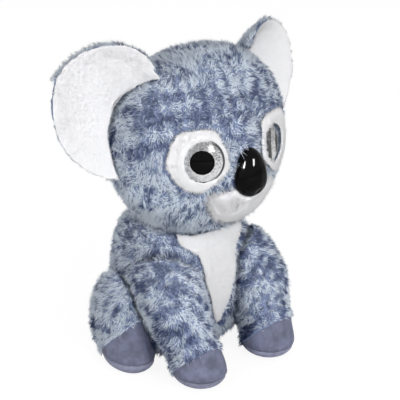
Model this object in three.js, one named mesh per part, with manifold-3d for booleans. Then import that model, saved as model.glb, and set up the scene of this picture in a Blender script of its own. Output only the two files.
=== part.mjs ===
// Seated plush koala: sewn plush covers over fibre stuffing, with plastic eyes and nose.
// Millimetres, +Z up. The face looks along -Y, and the toy's own left side is +X.
// Each limb, ear and the head is a body of its own, clear of its neighbours where it moves.

import * as THREE from "three";
import Module from "manifold-3d";

const wasm = await Module();
wasm.setup();

// Fabric and fits
const gap = 0.3;
const coverWall = 2.4;
const patchThickness = 2;
const floorPress = 0.5;
const reach = 400;
const weldStep = 0.00001;

// Head: half sizes about its centre
const headHalfWidth = 70;
const headFrontDepth = 38;
const headBackDepth = 49;
const headHalfHeight = 63.5;
const headBase = 103;
const headForward = 24;
const headTaperShare = 0.045;
const muzzleBulge = 13;
const muzzleHalfWidth = 31;
const muzzleHalfHeight = 31;
const muzzleHeight = 138;

// Torso, seated on its base
const torsoHeight = 112;
const torsoHalfWidth = 53;
const torsoFrontDepth = 44;
const torsoBackDepth = 49;
const torsoLean = 8;
const pouchHalfWidth = 26;
const pouchHeight = 22;

// Neck wad: the packed ball that the head turns and nods on
const neckRadius = 21;
const neckRoom = 1;
const headClearance = 1.6;
const neckForward = 15;
const neckTurnAngle = 15;
const neckNodAngle = 8;

// Arms: front legs that stand on their paws
const armHeight = 98;
const armHalfWidth = 25;
const armHalfDepth = 30;
const armSpread = 38;
const armForward = 29;
const pawInset = 4;
const pawForward = 30;
const shoulderHeight = 78;
const armSwingAngle = 35;
const pawHem = -42;
const pawSeam = 6;

// Legs: thighs beside the torso, feet under them
const thighHeight = 75;
const thighHalfWidth = 21;
const thighHalfDepth = 31;
const thighSpread = 50;
const thighBack = 5;
const footHeight = 30;
const footHalfWidth = 17.5;
const footHalfLength = 23.5;
const footSpread = 56;
const footBack = -8;
const hipBack = 22;
const hipHeight = 34;
const legSwingAngle = 15;
const footHem = 18;
const footSeam = 7.5;
const hemAngle = 45;

// Ears: cupped pads set on the sides of the head
const earHalfWidth = 37;
const earHalfHeight = 48;
const earSpread = 75;
const earBack = -2;
const earHeight = 194;
const earYawAngle = 16;
const leftEarYawAngle = 2;
const leftEarRollAngle = -8;
const leftEarDrop = 3;
const leftEarInset = 3;
const leftEarSetback = 6;
const leftEarCurl = 22;
const earLayer = 4.2;
const earRimLayer = 1.6;
const earCup = 15;
const earCurl = 12;
const earCurlAngle = 138;
const earFoldAngle = 15;

// Eyes and nose
const eyeRadius = 14;
const eyeDome = 5;
const eyeSpread = 31;
const eyeHeight = 161.5;
const eyeYawAngle = 30;
const eyePitchAngle = 4;
const eyeSink = 1.5;
const noseSink = 1;
const glitterThickness = 1;
const shankRadius = 2.5;
const shankLength = 13;
const washerRadius = 8;
const washerThickness = 1.5;
const noseHalfWidth = 13.5;
const noseHalfHeight = 17.5;
const noseProud = 11;
const noseHeight = 151.5;
const noseShankReach = 5.5;
const pressReach = 40;

// Sewn patches of white pile
const eyePatchHalf = 21.5;
const eyePatchOut = 3.5;
const eyePatchUp = 1.5;
const muzzleBandHalfWidth = 27;
const muzzleBandHalfHeight = 13;
const muzzleBandDrop = 10;
const bibHalfWidth = 33;
const bibHeight = 76;
const bibTop = 104;

// How square the forms are: 2 is an ellipse
const headSquareness = 2.3;
const torsoSquareness = 2.15;
const limbSquareness = 2.1;
const noseSquareness = 2;

// How finely the forms are faceted
const headSides = 20;
const headRings = 11;
const torsoSides = 18;
const torsoRings = 10;
const limbSides = 12;
const limbRings = 9;
const innerSides = 10;
const innerRings = 6;
const headInnerSides = 12;
const headInnerRings = 8;
const limbInnerSides = 8;
const earSides = 22;
const earRings = 4;
const roundSides = 16;
const domeSteps = 5;
const patchSteps = 26;
const swingSteps = 3;
const armSwingSteps = 7;
const curveTension = 0.5;

// Colours
const mottledBlue = 0x7d8cab;
const whitePile = 0xf3f3f6;
const velourGrey = 0x85859f;
const fibreWhite = 0xe8e8e4;
const glossBlack = 0x0a0a0c;
const glitterSilver = 0xb4b4ba;
const washerWhite = 0xdadad6;
const pouchCotton = 0xd8d2c4;

const plushRoughness = 0.95;
const velourRoughness = 0.85;
const plasticRoughness = 0.12;

// Geometry to solid and back

function solidOf(geometry) {
  const vertProperties = new Float32Array(geometry.getAttribute("position").array);
  const triVerts = new Uint32Array(geometry.getIndex().array);
  return new wasm.Manifold(new wasm.Mesh({ numProp: 3, vertProperties, triVerts }));
}

function geometryOf(solid) {
  const mesh = solid.getMesh();
  const geometry = new THREE.BufferGeometry();
  geometry.setAttribute("position", new THREE.BufferAttribute(mesh.vertProperties, 3));
  geometry.setIndex(new THREE.BufferAttribute(mesh.triVerts, 1));
  geometry.computeVertexNormals();
  return geometry;
}

function indexed(points, faces) {
  const geometry = new THREE.BufferGeometry();
  geometry.setAttribute("position", new THREE.Float32BufferAttribute(points, 3));
  geometry.setIndex(faces);
  return geometry;
}

function mirroredGeometry(geometry) {
  const copy = geometry.clone();
  copy.applyMatrix4(new THREE.Matrix4().makeScale(-1, 1, 1));
  const index = copy.getIndex();
  for (let i = 0; i < index.count; i += 3) {
    const kept = index.getX(i);
    index.setX(i, index.getX(i + 1));
    index.setX(i + 1, kept);
  }
  copy.computeVertexNormals();
  return copy;
}

// Forms made of level rings

// A curve through rows of numbers, sampled evenly from the first row to the last.
function sampledRows(rows, count) {
  const columns = rows[0].map((_, column) =>
    new THREE.CatmullRomCurve3(
      rows.map((row) => new THREE.Vector3(row[column], 0, 0)), false, "catmullrom", curveTension));
  return Array.from({ length: count + 1 }, (_, i) => columns.map((curve) => curve.getPoint(i / count).x));
}

// Rings from rows of shares: height, width, front, back, sideways and forward shift.
function ringsFrom(size, rows, count) {
  return sampledRows(rows, count).map(([up, wide, front, back, side, fore]) => ({
    x: size.x + size.sideways * side,
    y: size.y - size.forward * fore,
    z: size.base + size.height * up,
    wide: size.halfWidth * Math.max(wide, 0),
    front: size.front * Math.max(front, 0),
    back: size.back * Math.max(back, 0),
  }));
}

// The same rings moved along the outline's own normal: out when the distance is positive.
function grown(rings, distance) {
  const mean = (ring) => (ring.wide + ring.front + ring.back) / 3;
  const last = rings.length - 1;
  return rings.map((ring, i) => {
    const before = rings[Math.max(i - 1, 0)];
    const after = rings[Math.min(i + 1, last)];
    const slope = new THREE.Vector2(after.z - before.z, mean(before) - mean(after));
    if (i === 0) slope.set(0, -1);
    if (i === last) slope.set(0, 1);
    slope.normalize();
    return {
      x: ring.x,
      y: ring.y,
      z: ring.z + distance * slope.y,
      wide: Math.max(ring.wide + distance * slope.x, 0),
      front: Math.max(ring.front + distance * slope.x, 0),
      back: Math.max(ring.back + distance * slope.x, 0),
    };
  });
}

function power(value, exponent) {
  return Math.sign(value) * Math.abs(value) ** exponent;
}

// A closed body on the rings, with one point at its foot and one at its top.
function ringBody(rings, sides, squareness, shape = (point) => point) {
  const points = [];
  const faces = [];
  const inner = rings.slice(1, -1);
  for (const ring of inner) {
    for (let i = 0; i < sides; i++) {
      const turn = (2 * Math.PI * i) / sides;
      const along = power(Math.sin(turn), 2 / squareness);
      const depth = along < 0 ? ring.front : ring.back;
      const point = new THREE.Vector3(
        ring.x + ring.wide * power(Math.cos(turn), 2 / squareness), ring.y + depth * along, ring.z);
      points.push(...shape(point).toArray());
    }
  }
  const foot = points.length / 3;
  const top = foot + 1;
  points.push(rings[0].x, rings[0].y, rings[0].z);
  points.push(rings.at(-1).x, rings.at(-1).y, rings.at(-1).z);
  for (let i = 0; i < sides; i++) {
    const next = (i + 1) % sides;
    faces.push(foot, next, i);
    for (let level = 0; level < inner.length - 1; level++) {
      const low = level * sides;
      const high = low + sides;
      faces.push(low + i, low + next, high + next);
      faces.push(low + i, high + next, high + i);
    }
    const crown = (inner.length - 1) * sides;
    faces.push(crown + i, crown + next, top);
  }
  return indexed(points, faces);
}

// Boxes that keep or cut away one side of a plane

function slab(lowZ, highZ) {
  const box = new THREE.BoxGeometry(reach, reach, highZ - lowZ);
  box.translate(0, 0, (lowZ + highZ) / 2);
  return boxSolid(box);
}

function boxSolid(box) {
  return solidOf(welded(box));
}

// Shared corners, found by their place.
function welded(geometry) {
  const source = geometry.index ? geometry.toNonIndexed() : geometry;
  const places = source.getAttribute("position");
  const seen = new Map();
  const points = [];
  const faces = [];
  const corner = new THREE.Vector3();
  for (let i = 0; i < places.count; i += 3) {
    const triangle = [0, 1, 2].map((k) => {
      corner.fromBufferAttribute(places, i + k);
      const key = corner.toArray().map((value) => Math.round(value / weldStep)).join(",");
      if (!seen.has(key)) {
        seen.set(key, points.length / 3);
        points.push(...corner.toArray());
      }
      return seen.get(key);
    });
    if (new Set(triangle).size === 3) faces.push(...triangle);
  }
  return indexed(points, faces);
}

// Everything in front of and below a sloping hem, whose plane meets the floor at hemY.
function hemSide(hemY, shift) {
  const box = new THREE.BoxGeometry(reach, reach, reach);
  box.translate(0, 0, -reach / 2 + shift);
  box.rotateX(-THREE.MathUtils.degToRad(hemAngle));
  box.translate(0, hemY, 0);
  return boxSolid(box);
}

// Turning copies, for what must stay clear of a moving neighbour

function turnedAbout(geometry, pivot, axis, degrees) {
  const copy = geometry.clone();
  copy.translate(-pivot.x, -pivot.y, -pivot.z);
  copy.applyMatrix4(new THREE.Matrix4().makeRotationAxis(axis, THREE.MathUtils.degToRad(degrees)));
  copy.translate(pivot.x, pivot.y, pivot.z);
  return copy;
}

// What is left of a moving body once it clears a still neighbour over its whole swing.
function clearedOver(body, neighbour, pivot, axis, from, to, steps) {
  let left = body;
  for (let i = 0; i <= steps; i++) {
    const angle = from + ((to - from) * i) / steps;
    left = left.subtract(solidOf(turnedAbout(neighbour, pivot, axis, -angle)));
  }
  return left;
}

// Head form

const headCentre = new THREE.Vector3(0, -headForward, headBase + headHalfHeight);

// The head is a little broader at the cheeks than at the crown.
function headTaper(z) {
  return 1 - (headTaperShare * (z - headCentre.z)) / headHalfHeight;
}

function headRingsOf(count) {
  return Array.from({ length: count + 1 }, (_, i) => {
    const lift = Math.PI * (i / count - 1 / 2);
    const z = headCentre.z + headHalfHeight * power(Math.sin(lift), 2 / headSquareness);
    const pole = i === 0 || i === count;
    const share = pole ? 0 : headTaper(z) * Math.abs(Math.cos(lift)) ** (2 / headSquareness);
    return {
      x: headCentre.x,
      y: headCentre.y,
      z,
      wide: headHalfWidth * share,
      front: headFrontDepth * share,
      back: headBackDepth * share,
    };
  });
}

// The muzzle stands proud of the face as one smooth swelling.
function withMuzzle(point) {
  if (point.y > headCentre.y) return point;
  const away = (point.x / muzzleHalfWidth) ** 2 + ((point.z - muzzleHeight) / muzzleHalfHeight) ** 2;
  point.y -= muzzleBulge * Math.exp(-away);
  return point;
}

function headForm(distance, rings = headRings, sides = headSides) {
  return ringBody(grown(headRingsOf(rings), distance), sides, headSquareness, withMuzzle);
}

// Torso form: height, width, front, back, sideways and forward shares

const torsoShares = [
  [0, 0, 0, 0, 0, 0],
  [0.002, 0.5, 0.36, 0.5, 0, 0],
  [0.05, 0.8, 0.62, 0.8, 0, 0.02],
  [0.16, 0.95, 0.82, 0.93, 0, 0.06],
  [0.34, 1, 0.95, 0.97, 0, 0.12],
  [0.55, 1, 0.97, 0.98, 0, 0.3],
  [0.76, 0.97, 0.88, 0.96, 0, 0.5],
  [0.9, 0.87, 0.73, 0.86, 0, 0.6],
  [0.975, 0.6, 0.46, 0.58, 0, 0.6],
  [1, 0, 0, 0, 0, 0.6],
];
const torsoSize = {
  x: 0,
  y: 0,
  base: -floorPress,
  height: torsoHeight + floorPress,
  halfWidth: torsoHalfWidth,
  front: torsoFrontDepth,
  back: torsoBackDepth,
  sideways: 0,
  forward: torsoLean,
};

function torsoForm(distance, rings = torsoRings, sides = torsoSides) {
  return ringBody(grown(ringsFrom(torsoSize, torsoShares, rings), distance), sides, torsoSquareness);
}

// Limb forms, on the left side

const armShares = [
  [0, 0, 0, 0, -1, 1],
  [0.002, 0.4, 0.36, 0.36, -1, 1],
  [0.03, 0.66, 0.6, 0.6, -1, 1],
  [0.09, 0.8, 0.76, 0.72, -1, 1],
  [0.18, 0.82, 0.7, 0.78, -0.8, 0.95],
  [0.3, 0.82, 0.6, 0.84, -0.3, 0.8],
  [0.47, 0.94, 0.76, 0.96, 0.5, 0.52],
  [0.65, 1, 0.86, 1.04, 0.4, 0.26],
  [0.82, 0.88, 0.82, 1.04, -0.1, -0.04],
  [0.94, 0.54, 0.5, 0.66, -0.5, -0.14],
  [1, 0, 0, 0, -0.5, -0.14],
];
const armSize = {
  x: armSpread,
  y: -armForward,
  base: -floorPress,
  height: armHeight + floorPress,
  halfWidth: armHalfWidth,
  front: armHalfDepth,
  back: armHalfDepth,
  sideways: pawInset,
  forward: pawForward,
};
const thighShares = [
  [0, 0, 0, 0, 0, 0],
  [0.002, 0.4, 0.4, 0.4, 0, 0],
  [0.03, 0.62, 0.6, 0.66, 0, 0],
  [0.16, 0.9, 0.84, 0.92, 0, 0],
  [0.4, 1, 1, 1, 0, 0],
  [0.66, 0.88, 0.9, 0.9, 0, 0],
  [0.88, 0.52, 0.56, 0.58, 0, 0],
  [1, 0, 0, 0, 0, 0],
];
const thighSize = {
  x: thighSpread,
  y: thighBack,
  base: -floorPress,
  height: thighHeight + floorPress,
  halfWidth: thighHalfWidth,
  front: thighHalfDepth,
  back: thighHalfDepth,
  sideways: 0,
  forward: 0,
};
const footShares = [
  [0, 0, 0, 0, 0, 0],
  [0.005, 0.48, 0.52, 0.52, 0, 0],
  [0.06, 0.74, 0.76, 0.76, 0, 0],
  [0.28, 0.98, 0.98, 0.98, 0, 0],
  [0.55, 0.96, 0.93, 1, 0, 0],
  [0.83, 0.66, 0.62, 0.72, 0, 0],
  [1, 0, 0, 0, 0, 0],
];
const footSize = {
  x: footSpread,
  y: footBack,
  base: -floorPress,
  height: footHeight + floorPress,
  halfWidth: footHalfWidth,
  front: footHalfLength,
  back: footHalfLength,
  sideways: 0,
  forward: 0,
};

function limbForm(size, rows, distance, rings = limbRings, sides = limbSides) {
  return ringBody(grown(ringsFrom(size, rows, rings), distance), sides, limbSquareness);
}

// Joint centres and axes

const acrossAxis = new THREE.Vector3(1, 0, 0);
const upAxis = new THREE.Vector3(0, 0, 1);
const neckPivot = new THREE.Vector3(0, -neckForward, headBase);
const armPivot = new THREE.Vector3(armSpread, -armForward, shoulderHeight);
const legPivot = new THREE.Vector3(thighSpread, hipBack, hipHeight);

// Neck wad

function ball(radius, centre) {
  const form = new THREE.SphereGeometry(radius, roundSides, roundSides / 2);
  form.rotateX(Math.PI / 2);
  form.translate(centre.x, centre.y, centre.z);
  return solidOf(welded(form));
}

const neckWad = ball(neckRadius, neckPivot);
const neckSocket = ball(neckRadius + neckRoom, neckPivot);

// Eyes: a dome on a shank, a glitter disc behind it and a lock washer inside the head

function surfacePoint(x, z) {
  const width = Math.abs(x / (headHalfWidth * headTaper(z))) ** headSquareness;
  const height = Math.abs((z - headCentre.z) / headHalfHeight) ** headSquareness;
  const share = headTaper(z) * Math.max(1 - width - height, 0) ** (1 / headSquareness);
  const depth = headFrontDepth * share;
  return withMuzzle(new THREE.Vector3(x, headCentre.y - depth, z));
}

// Turned about its own axis: points are radius and distance out from the seat.
function turned(profile, sides = roundSides) {
  const closed = [...profile, profile[0]];
  const form = new THREE.LatheGeometry(closed.map(([r, out]) => new THREE.Vector2(r, out)), sides);
  return welded(form);
}

// From the turning axis (+Y here) to a sunken seat that looks forward, turned out and up.
function seated(geometry, seat, sink, yaw, pitch) {
  const copy = geometry.clone();
  copy.translate(0, -sink, 0);
  copy.rotateX(Math.PI);
  copy.rotateX(-THREE.MathUtils.degToRad(pitch));
  copy.rotateZ(THREE.MathUtils.degToRad(yaw));
  copy.translate(seat.x, seat.y, seat.z);
  return copy;
}

function disc(radius, from, to) {
  return turned([[0, from], [radius, from], [radius, to], [0, to]]);
}

function ringDisc(inner, outer, from, to) {
  return turned([[inner, from], [outer, from], [outer, to], [inner, to]]);
}

function shanked(radius, from, crown) {
  const arc = Array.from({ length: domeSteps + 1 }, (_, i) => {
    const angle = (Math.PI / 2) * (i / domeSteps);
    return [radius * Math.cos(angle), from + crown * Math.sin(angle)];
  });
  arc[domeSteps][0] = 0;
  return turned([[0, -shankLength], [shankRadius, -shankLength], [shankRadius, from], ...arc]);
}

// Behind a seat the cover keeps a full flat wall, and the washer lies against it.
function seatCuts(at, radius) {
  const washerRoom = solidOf(at(disc(washerRadius + gap, -shankLength - gap, -coverWall)));
  return {
    room: solidOf(at(disc(radius + gap, 0, pressReach))),
    shankRoom: solidOf(at(disc(shankRadius + gap, -shankLength - gap, pressReach))),
    backing: solidOf(at(disc(radius + coverWall, -coverWall, pressReach))),
    washerRoom,
    stuffingRoom: solidOf(at(disc(radius + coverWall + gap, -coverWall - gap, pressReach)))
      .add(washerRoom),
  };
}

const washerOut = -(coverWall + gap + washerThickness);
const washerForm = ringDisc(shankRadius + gap, washerRadius, washerOut, washerOut + washerThickness);
const eyeSeat = surfacePoint(eyeSpread, eyeHeight);
const eyeAt = (geometry) => seated(geometry, eyeSeat, eyeSink, eyeYawAngle, eyePitchAngle);
const eyeDomeForm = eyeAt(shanked(eyeRadius, glitterThickness + 2 * gap, eyeDome));
const glitterForm = eyeAt(ringDisc(shankRadius + gap, eyeRadius - gap, gap, gap + glitterThickness));
const eyeWasherForm = eyeAt(washerForm);
const eyeCuts = seatCuts(eyeAt, eyeRadius);

// Nose: an egg, narrow above, cut to the face and held by a shank

const noseShares = [
  [0, 0, 0, 0, 0, 0],
  [0.05, 0.5, 0.5, 0.5, 0, 0],
  [0.22, 0.92, 0.9, 0.9, 0, 0],
  [0.42, 1, 1, 1, 0, 0],
  [0.68, 0.84, 0.9, 0.9, 0, 0],
  [0.9, 0.52, 0.56, 0.6, 0, 0],
  [1, 0, 0, 0, 0, 0],
];
const noseSeat = surfacePoint(0, noseHeight);
const noseSize = {
  x: 0,
  y: noseSeat.y,
  base: noseHeight - noseHalfHeight,
  height: 2 * noseHalfHeight,
  halfWidth: noseHalfWidth,
  front: noseProud,
  back: noseProud,
  sideways: 0,
  forward: 0,
};

function noseForm(distance) {
  const rings = grown(ringsFrom(noseSize, noseShares, limbRings), distance);
  return solidOf(ringBody(rings, limbSides, noseSquareness));
}

const noseAt = (geometry) => seated(geometry, noseSeat, noseSink, 0, 0);
const noseWasherForm = noseAt(washerForm);
const noseShank = solidOf(noseAt(disc(shankRadius, -shankLength, noseShankReach)));
const noseCuts = seatCuts(noseAt, washerRadius);

const headOuter = solidOf(headForm(0));
const headClear = solidOf(headForm(gap));
const nose = noseForm(0).subtract(headClear).add(noseShank);

// Mirrored solids, for the right side

const mirrored = (solid) => solidOf(mirroredGeometry(geometryOf(solid)));
const bothSides = (solid) => solid.add(mirrored(solid));

// Patches: an outline carried back onto a form, as thick as the fabric

function closedOutline(points, steps) {
  const loop = points.map(([x, z]) => new THREE.Vector3(x, z, 0));
  const curve = new THREE.CatmullRomCurve3(loop, true, "catmullrom", curveTension);
  const around = curve.getPoints(steps).slice(0, -1);
  return new THREE.Shape(around.map((point) => new THREE.Vector2(point.x, point.y)));
}

function patchOn(form, points, steps) {
  const prism = new THREE.ExtrudeGeometry(closedOutline(points, steps), {
    depth: reach / 2,
    bevelEnabled: false,
  });
  prism.rotateX(Math.PI / 2);
  const layer = solidOf(form(gap + patchThickness)).subtract(solidOf(form(gap)));
  return solidOf(welded(prism)).intersect(layer);
}

// Outlines as shares of half widths and half heights about their centres

const eyePatchShares = [
  [0.98, 0.1], [0.62, 0.9], [0, 0.98], [-0.62, 0.82],
  [-0.98, -0.1], [-0.6, -0.72], [0.06, -1], [0.68, -0.66],
];
const muzzleBandShares = [
  [1, 0.42], [0.9, -0.18], [0.5, -0.84], [0, -1.02], [-0.5, -0.84], [-0.9, -0.18], [-1, 0.42],
  [-0.62, 0.72], [-0.3, 0.92], [0.3, 0.92], [0.62, 0.72],
];
const bibShares = [
  [-0.88, 0], [-0.78, -0.26], [-0.5, -0.46], [-0.3, -0.7], [0, -1], [0.3, -0.7], [0.5, -0.46],
  [0.78, -0.26], [0.88, 0], [0, 0.02],
];

const eyePatch = patchOn(
  headForm,
  eyePatchShares.map(([u, v]) => [
    eyeSpread + eyePatchOut + eyePatchHalf * u, eyeHeight + eyePatchUp + eyePatchHalf * v]),
  patchSteps,
).subtract(eyeCuts.room).subtract(noseForm(gap));

const muzzleBandHeight = muzzleHeight - muzzleBandDrop;
const muzzleBand = patchOn(
  headForm,
  muzzleBandShares.map(([u, v]) => [muzzleBandHalfWidth * u, muzzleBandHeight + muzzleBandHalfHeight * v]),
  patchSteps,
).subtract(noseForm(gap)).subtract(bothSides(eyePatch.add(eyeCuts.room))).subtract(neckSocket);

// Head cover and stuffing

function headHollow(distance) {
  return solidOf(headForm(-coverWall - distance, headInnerRings, headInnerSides));
}

const headCover = headOuter
  .subtract(headHollow(0).subtract(bothSides(eyeCuts.backing)).subtract(noseCuts.backing))
  .subtract(neckSocket)
  .subtract(bothSides(eyeCuts.room.add(eyeCuts.shankRoom).add(eyeCuts.washerRoom)))
  .subtract(noseCuts.shankRoom.add(noseCuts.washerRoom));
const headStuffing = headHollow(gap)
  .subtract(neckSocket)
  .subtract(bothSides(eyeCuts.stuffingRoom))
  .subtract(noseCuts.stuffingRoom);

// Room for the head above the torso, over its whole turn and nod

function headRoom(distance) {
  const form = headForm(distance);
  const copies = [];
  for (const turn of [-neckTurnAngle, 0, neckTurnAngle]) {
    for (const nod of [-neckNodAngle, 0, neckNodAngle]) {
      const nodded = turnedAbout(form, neckPivot, acrossAxis, nod);
      copies.push(solidOf(turnedAbout(nodded, neckPivot, upAxis, turn)));
    }
  }
  return copies.reduce((whole, copy) => whole.add(copy));
}

// Torso cover, stuffing and pellet pouch

const aboveFloor = slab(0, reach);
const torsoOuter = solidOf(torsoForm(0)).intersect(aboveFloor).subtract(headRoom(headClearance));

function torsoHollow(distance) {
  return solidOf(torsoForm(-coverWall - distance, innerRings, innerSides))
    .subtract(headRoom(headClearance + coverWall + distance));
}

const torsoCover = torsoOuter
  .subtract(torsoHollow(0).intersect(slab(coverWall, reach)))
  .subtract(neckSocket);
const pouchTop = coverWall + gap + pouchHeight;
const pouchWide = new THREE.CylinderGeometry(pouchHalfWidth, pouchHalfWidth, reach, roundSides / 2);
pouchWide.rotateX(Math.PI / 2);
const pelletPouch = solidOf(welded(pouchWide))
  .intersect(slab(coverWall + gap, pouchTop))
  .intersect(torsoHollow(gap));
const torsoStuffing = torsoHollow(gap)
  .intersect(slab(pouchTop + gap, reach))
  .subtract(neckSocket);

// Sewn limbs: a furry cover behind the hem, a velour upper and sole in front of it

function sewnLimb(forms, clear, hemY, seam) {
  const joined = (distance, rings, sides) => forms
    .map(([size, rows]) => solidOf(limbForm(size, rows, distance, rings, sides)))
    .reduce((whole, form) => whole.add(form));
  const outer = clear(joined(0).intersect(aboveFloor));
  const hollow = joined(-coverWall, innerRings, limbInnerSides).intersect(slab(coverWall, reach));
  const shell = outer.subtract(hollow);
  const hidden = hemSide(hemY, 0);
  const velour = shell.intersect(hemSide(hemY, -gap));
  return {
    outer,
    cover: shell.subtract(hidden),
    upper: velour.intersect(slab(seam + gap, reach)),
    sole: velour.intersect(slab(0, seam)),
    stuffing: clear(joined(-coverWall - gap, innerRings, limbInnerSides)
      .intersect(slab(coverWall + gap, reach))),
  };
}

const armClear = (body) => clearedOver(
  body, torsoForm(gap), armPivot, acrossAxis, 0, -armSwingAngle, swingSteps);
const arm = sewnLimb([[armSize, armShares]], armClear, pawHem, pawSeam);

const armKeepOut = limbForm(armSize, armShares, gap);

const bibPatch = patchOn(
  torsoForm,
  bibShares.map(([u, v]) => [bibHalfWidth * u, bibTop + bibHeight * v]),
  patchSteps,
).subtract(headRoom(headClearance)).subtract(neckSocket);
const leftCutBib = clearedOver(bibPatch, armKeepOut, armPivot, acrossAxis, 0, armSwingAngle, swingSteps);
const chestBib = leftCutBib.intersect(mirrored(leftCutBib));

// The leg clears the torso and the arm as it swings, and at rest the swinging arm too.
function legClear(body) {
  const clearOfTorso = clearedOver(
    body, torsoForm(gap), legPivot, acrossAxis, 0, -legSwingAngle, swingSteps);
  const clearOfArm = clearedOver(
    clearOfTorso, armKeepOut, legPivot, acrossAxis, 0, -legSwingAngle, swingSteps);
  return clearedOver(clearOfArm, armKeepOut, armPivot, acrossAxis, 0, armSwingAngle, armSwingSteps);
}

const leg = sewnLimb([[thighSize, thighShares], [footSize, footShares]], legClear, footHem, footSeam);

// Ears: two cupped layers sewn at the rim

const earOutlineShares = [
  [0.95, 0.09], [0.84, 0.6], [0.42, 0.9], [-0.15, 1], [-0.6, 0.9], [-0.9, 0.62], [-1.1, 0.1],
  [-0.9, -0.62], [-0.35, -0.97], [0.3, -0.8], [0.78, -0.4],
];

const thinned = (side) => Math.sign(side) * Math.min(Math.abs(side), earRimLayer);

function earLayerForm(low, high, curl) {
  const outline = closedOutline(
    earOutlineShares.map(([u, v]) => [earHalfWidth * u, earHalfHeight * v]), earSides);
  const edge = outline.getPoints();
  const curlTurn = THREE.MathUtils.degToRad(earCurlAngle);
  const points = [];
  const faces = [];
  const put = (share, i, side) => {
    const at = edge[i].clone().multiplyScalar(share);
    const angle = Math.atan2(edge[i].y, edge[i].x);
    const towards = Math.max(Math.cos(angle - curlTurn), 0) ** 2;
    const cup = earCup * share ** 2 + curl * towards * share ** 3;
    const thick = THREE.MathUtils.lerp(side, thinned(side), share ** 3);
    points.push(at.x, -cup - thick, at.y);
    return points.length / 3 - 1;
  };
  const sheet = (side) => {
    const middle = put(0, 0, side);
    const rings = [];
    for (let ring = 1; ring <= earRings; ring++) {
      rings.push(edge.map((_, i) => put(ring / earRings, i, side)));
    }
    return { middle, rings };
  };
  const front = sheet(high);
  const back = sheet(low);
  const count = edge.length;
  for (let i = 0; i < count; i++) {
    const next = (i + 1) % count;
    faces.push(front.middle, front.rings[0][i], front.rings[0][next]);
    faces.push(back.middle, back.rings[0][next], back.rings[0][i]);
    for (let ring = 0; ring < earRings - 1; ring++) {
      const [a, b] = [front.rings[ring], front.rings[ring + 1]];
      faces.push(a[i], b[i], b[next], a[i], b[next], a[next]);
      const [c, d] = [back.rings[ring], back.rings[ring + 1]];
      faces.push(c[i], d[next], d[i], c[i], c[next], d[next]);
    }
    const [outerFront, outerBack] = [front.rings.at(-1), back.rings.at(-1)];
    faces.push(outerFront[i], outerBack[i], outerBack[next]);
    faces.push(outerFront[i], outerBack[next], outerFront[next]);
  }
  return indexed(points, faces);
}

const earRootShares = [[0.6, 0, 0.84], [0.97, 0.12, -0.28]];
const earRootTop = headCentre.clone().add(new THREE.Vector3(
  headHalfWidth * earRootShares[0][0], headBackDepth * earRootShares[0][1],
  headHalfHeight * earRootShares[0][2]));
const earRootFoot = headCentre.clone().add(new THREE.Vector3(
  headHalfWidth * earRootShares[1][0], headBackDepth * earRootShares[1][1],
  headHalfHeight * earRootShares[1][2]));
const earAxis = earRootTop.clone().sub(earRootFoot).normalize();

function placedEar(form, pose) {
  const copy = form.clone();
  copy.rotateY(THREE.MathUtils.degToRad(pose.roll));
  copy.rotateZ(THREE.MathUtils.degToRad(pose.yaw));
  copy.translate(pose.x, pose.y, pose.z);
  return solidOf(copy);
}

const earClear = (body) => clearedOver(
  body, headForm(gap), earRootFoot, earAxis, -earFoldAngle, earFoldAngle, swingSteps);

function earLayers(pose) {
  return {
    front: earClear(placedEar(earLayerForm(gap / 2, earLayer, pose.curl), pose)),
    back: earClear(placedEar(earLayerForm(-earLayer, -gap / 2, pose.curl), pose)),
  };
}

// Both ears are made on the left; the right one is mirrored when it is added.
const leftEar = earLayers({
  roll: leftEarRollAngle,
  yaw: leftEarYawAngle,
  curl: leftEarCurl,
  x: earSpread - leftEarInset,
  y: earBack + leftEarSetback,
  z: earHeight - leftEarDrop,
});
const rightEar = earLayers({
  roll: 0,
  yaw: earYawAngle,
  curl: earCurl,
  x: earSpread,
  y: earBack,
  z: earHeight,
});

// The toy

const koala = new THREE.Group();

function addPiece(name, geometry, color, roughness, metalness = 0) {
  const material = new THREE.MeshStandardMaterial({ color, roughness, metalness });
  const mesh = new THREE.Mesh(geometry, material);
  mesh.name = name;
  koala.add(mesh);
}

function addPair(name, geometry, color, roughness, metalness = 0) {
  addPiece(`${name}_left`, geometry, color, roughness, metalness);
  addPiece(`${name}_right`, mirroredGeometry(geometry), color, roughness, metalness);
}

addPiece("torso_cover", geometryOf(torsoCover), mottledBlue, plushRoughness);
addPiece("torso_stuffing", geometryOf(torsoStuffing), fibreWhite, plushRoughness);
addPiece("pellet_pouch", geometryOf(pelletPouch), pouchCotton, plushRoughness);
addPiece("chest_bib", geometryOf(chestBib), whitePile, plushRoughness);
addPiece("neck_wad", geometryOf(neckWad), fibreWhite, plushRoughness);
addPiece("head_cover", geometryOf(headCover), mottledBlue, plushRoughness);
addPiece("head_stuffing", geometryOf(headStuffing), fibreWhite, plushRoughness);
addPiece("muzzle_band", geometryOf(muzzleBand), whitePile, plushRoughness);
addPiece("nose", geometryOf(nose), glossBlack, plasticRoughness);
addPiece("nose_washer", noseWasherForm, washerWhite, velourRoughness);
addPair("eye_patch", geometryOf(eyePatch), whitePile, plushRoughness);
addPair("eye_dome", eyeDomeForm, glossBlack, plasticRoughness);
addPair("eye_glitter_disc", glitterForm, glitterSilver, plasticRoughness, 1);
addPair("eye_washer", eyeWasherForm, washerWhite, velourRoughness);
addPiece("ear_back_left", geometryOf(leftEar.back), mottledBlue, plushRoughness);
addPiece("ear_front_left", geometryOf(leftEar.front), whitePile, plushRoughness);
addPiece("ear_back_right", mirroredGeometry(geometryOf(rightEar.back)), mottledBlue, plushRoughness);
addPiece("ear_front_right", mirroredGeometry(geometryOf(rightEar.front)), whitePile, plushRoughness);
addPair("arm_cover", geometryOf(arm.cover), mottledBlue, plushRoughness);
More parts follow.
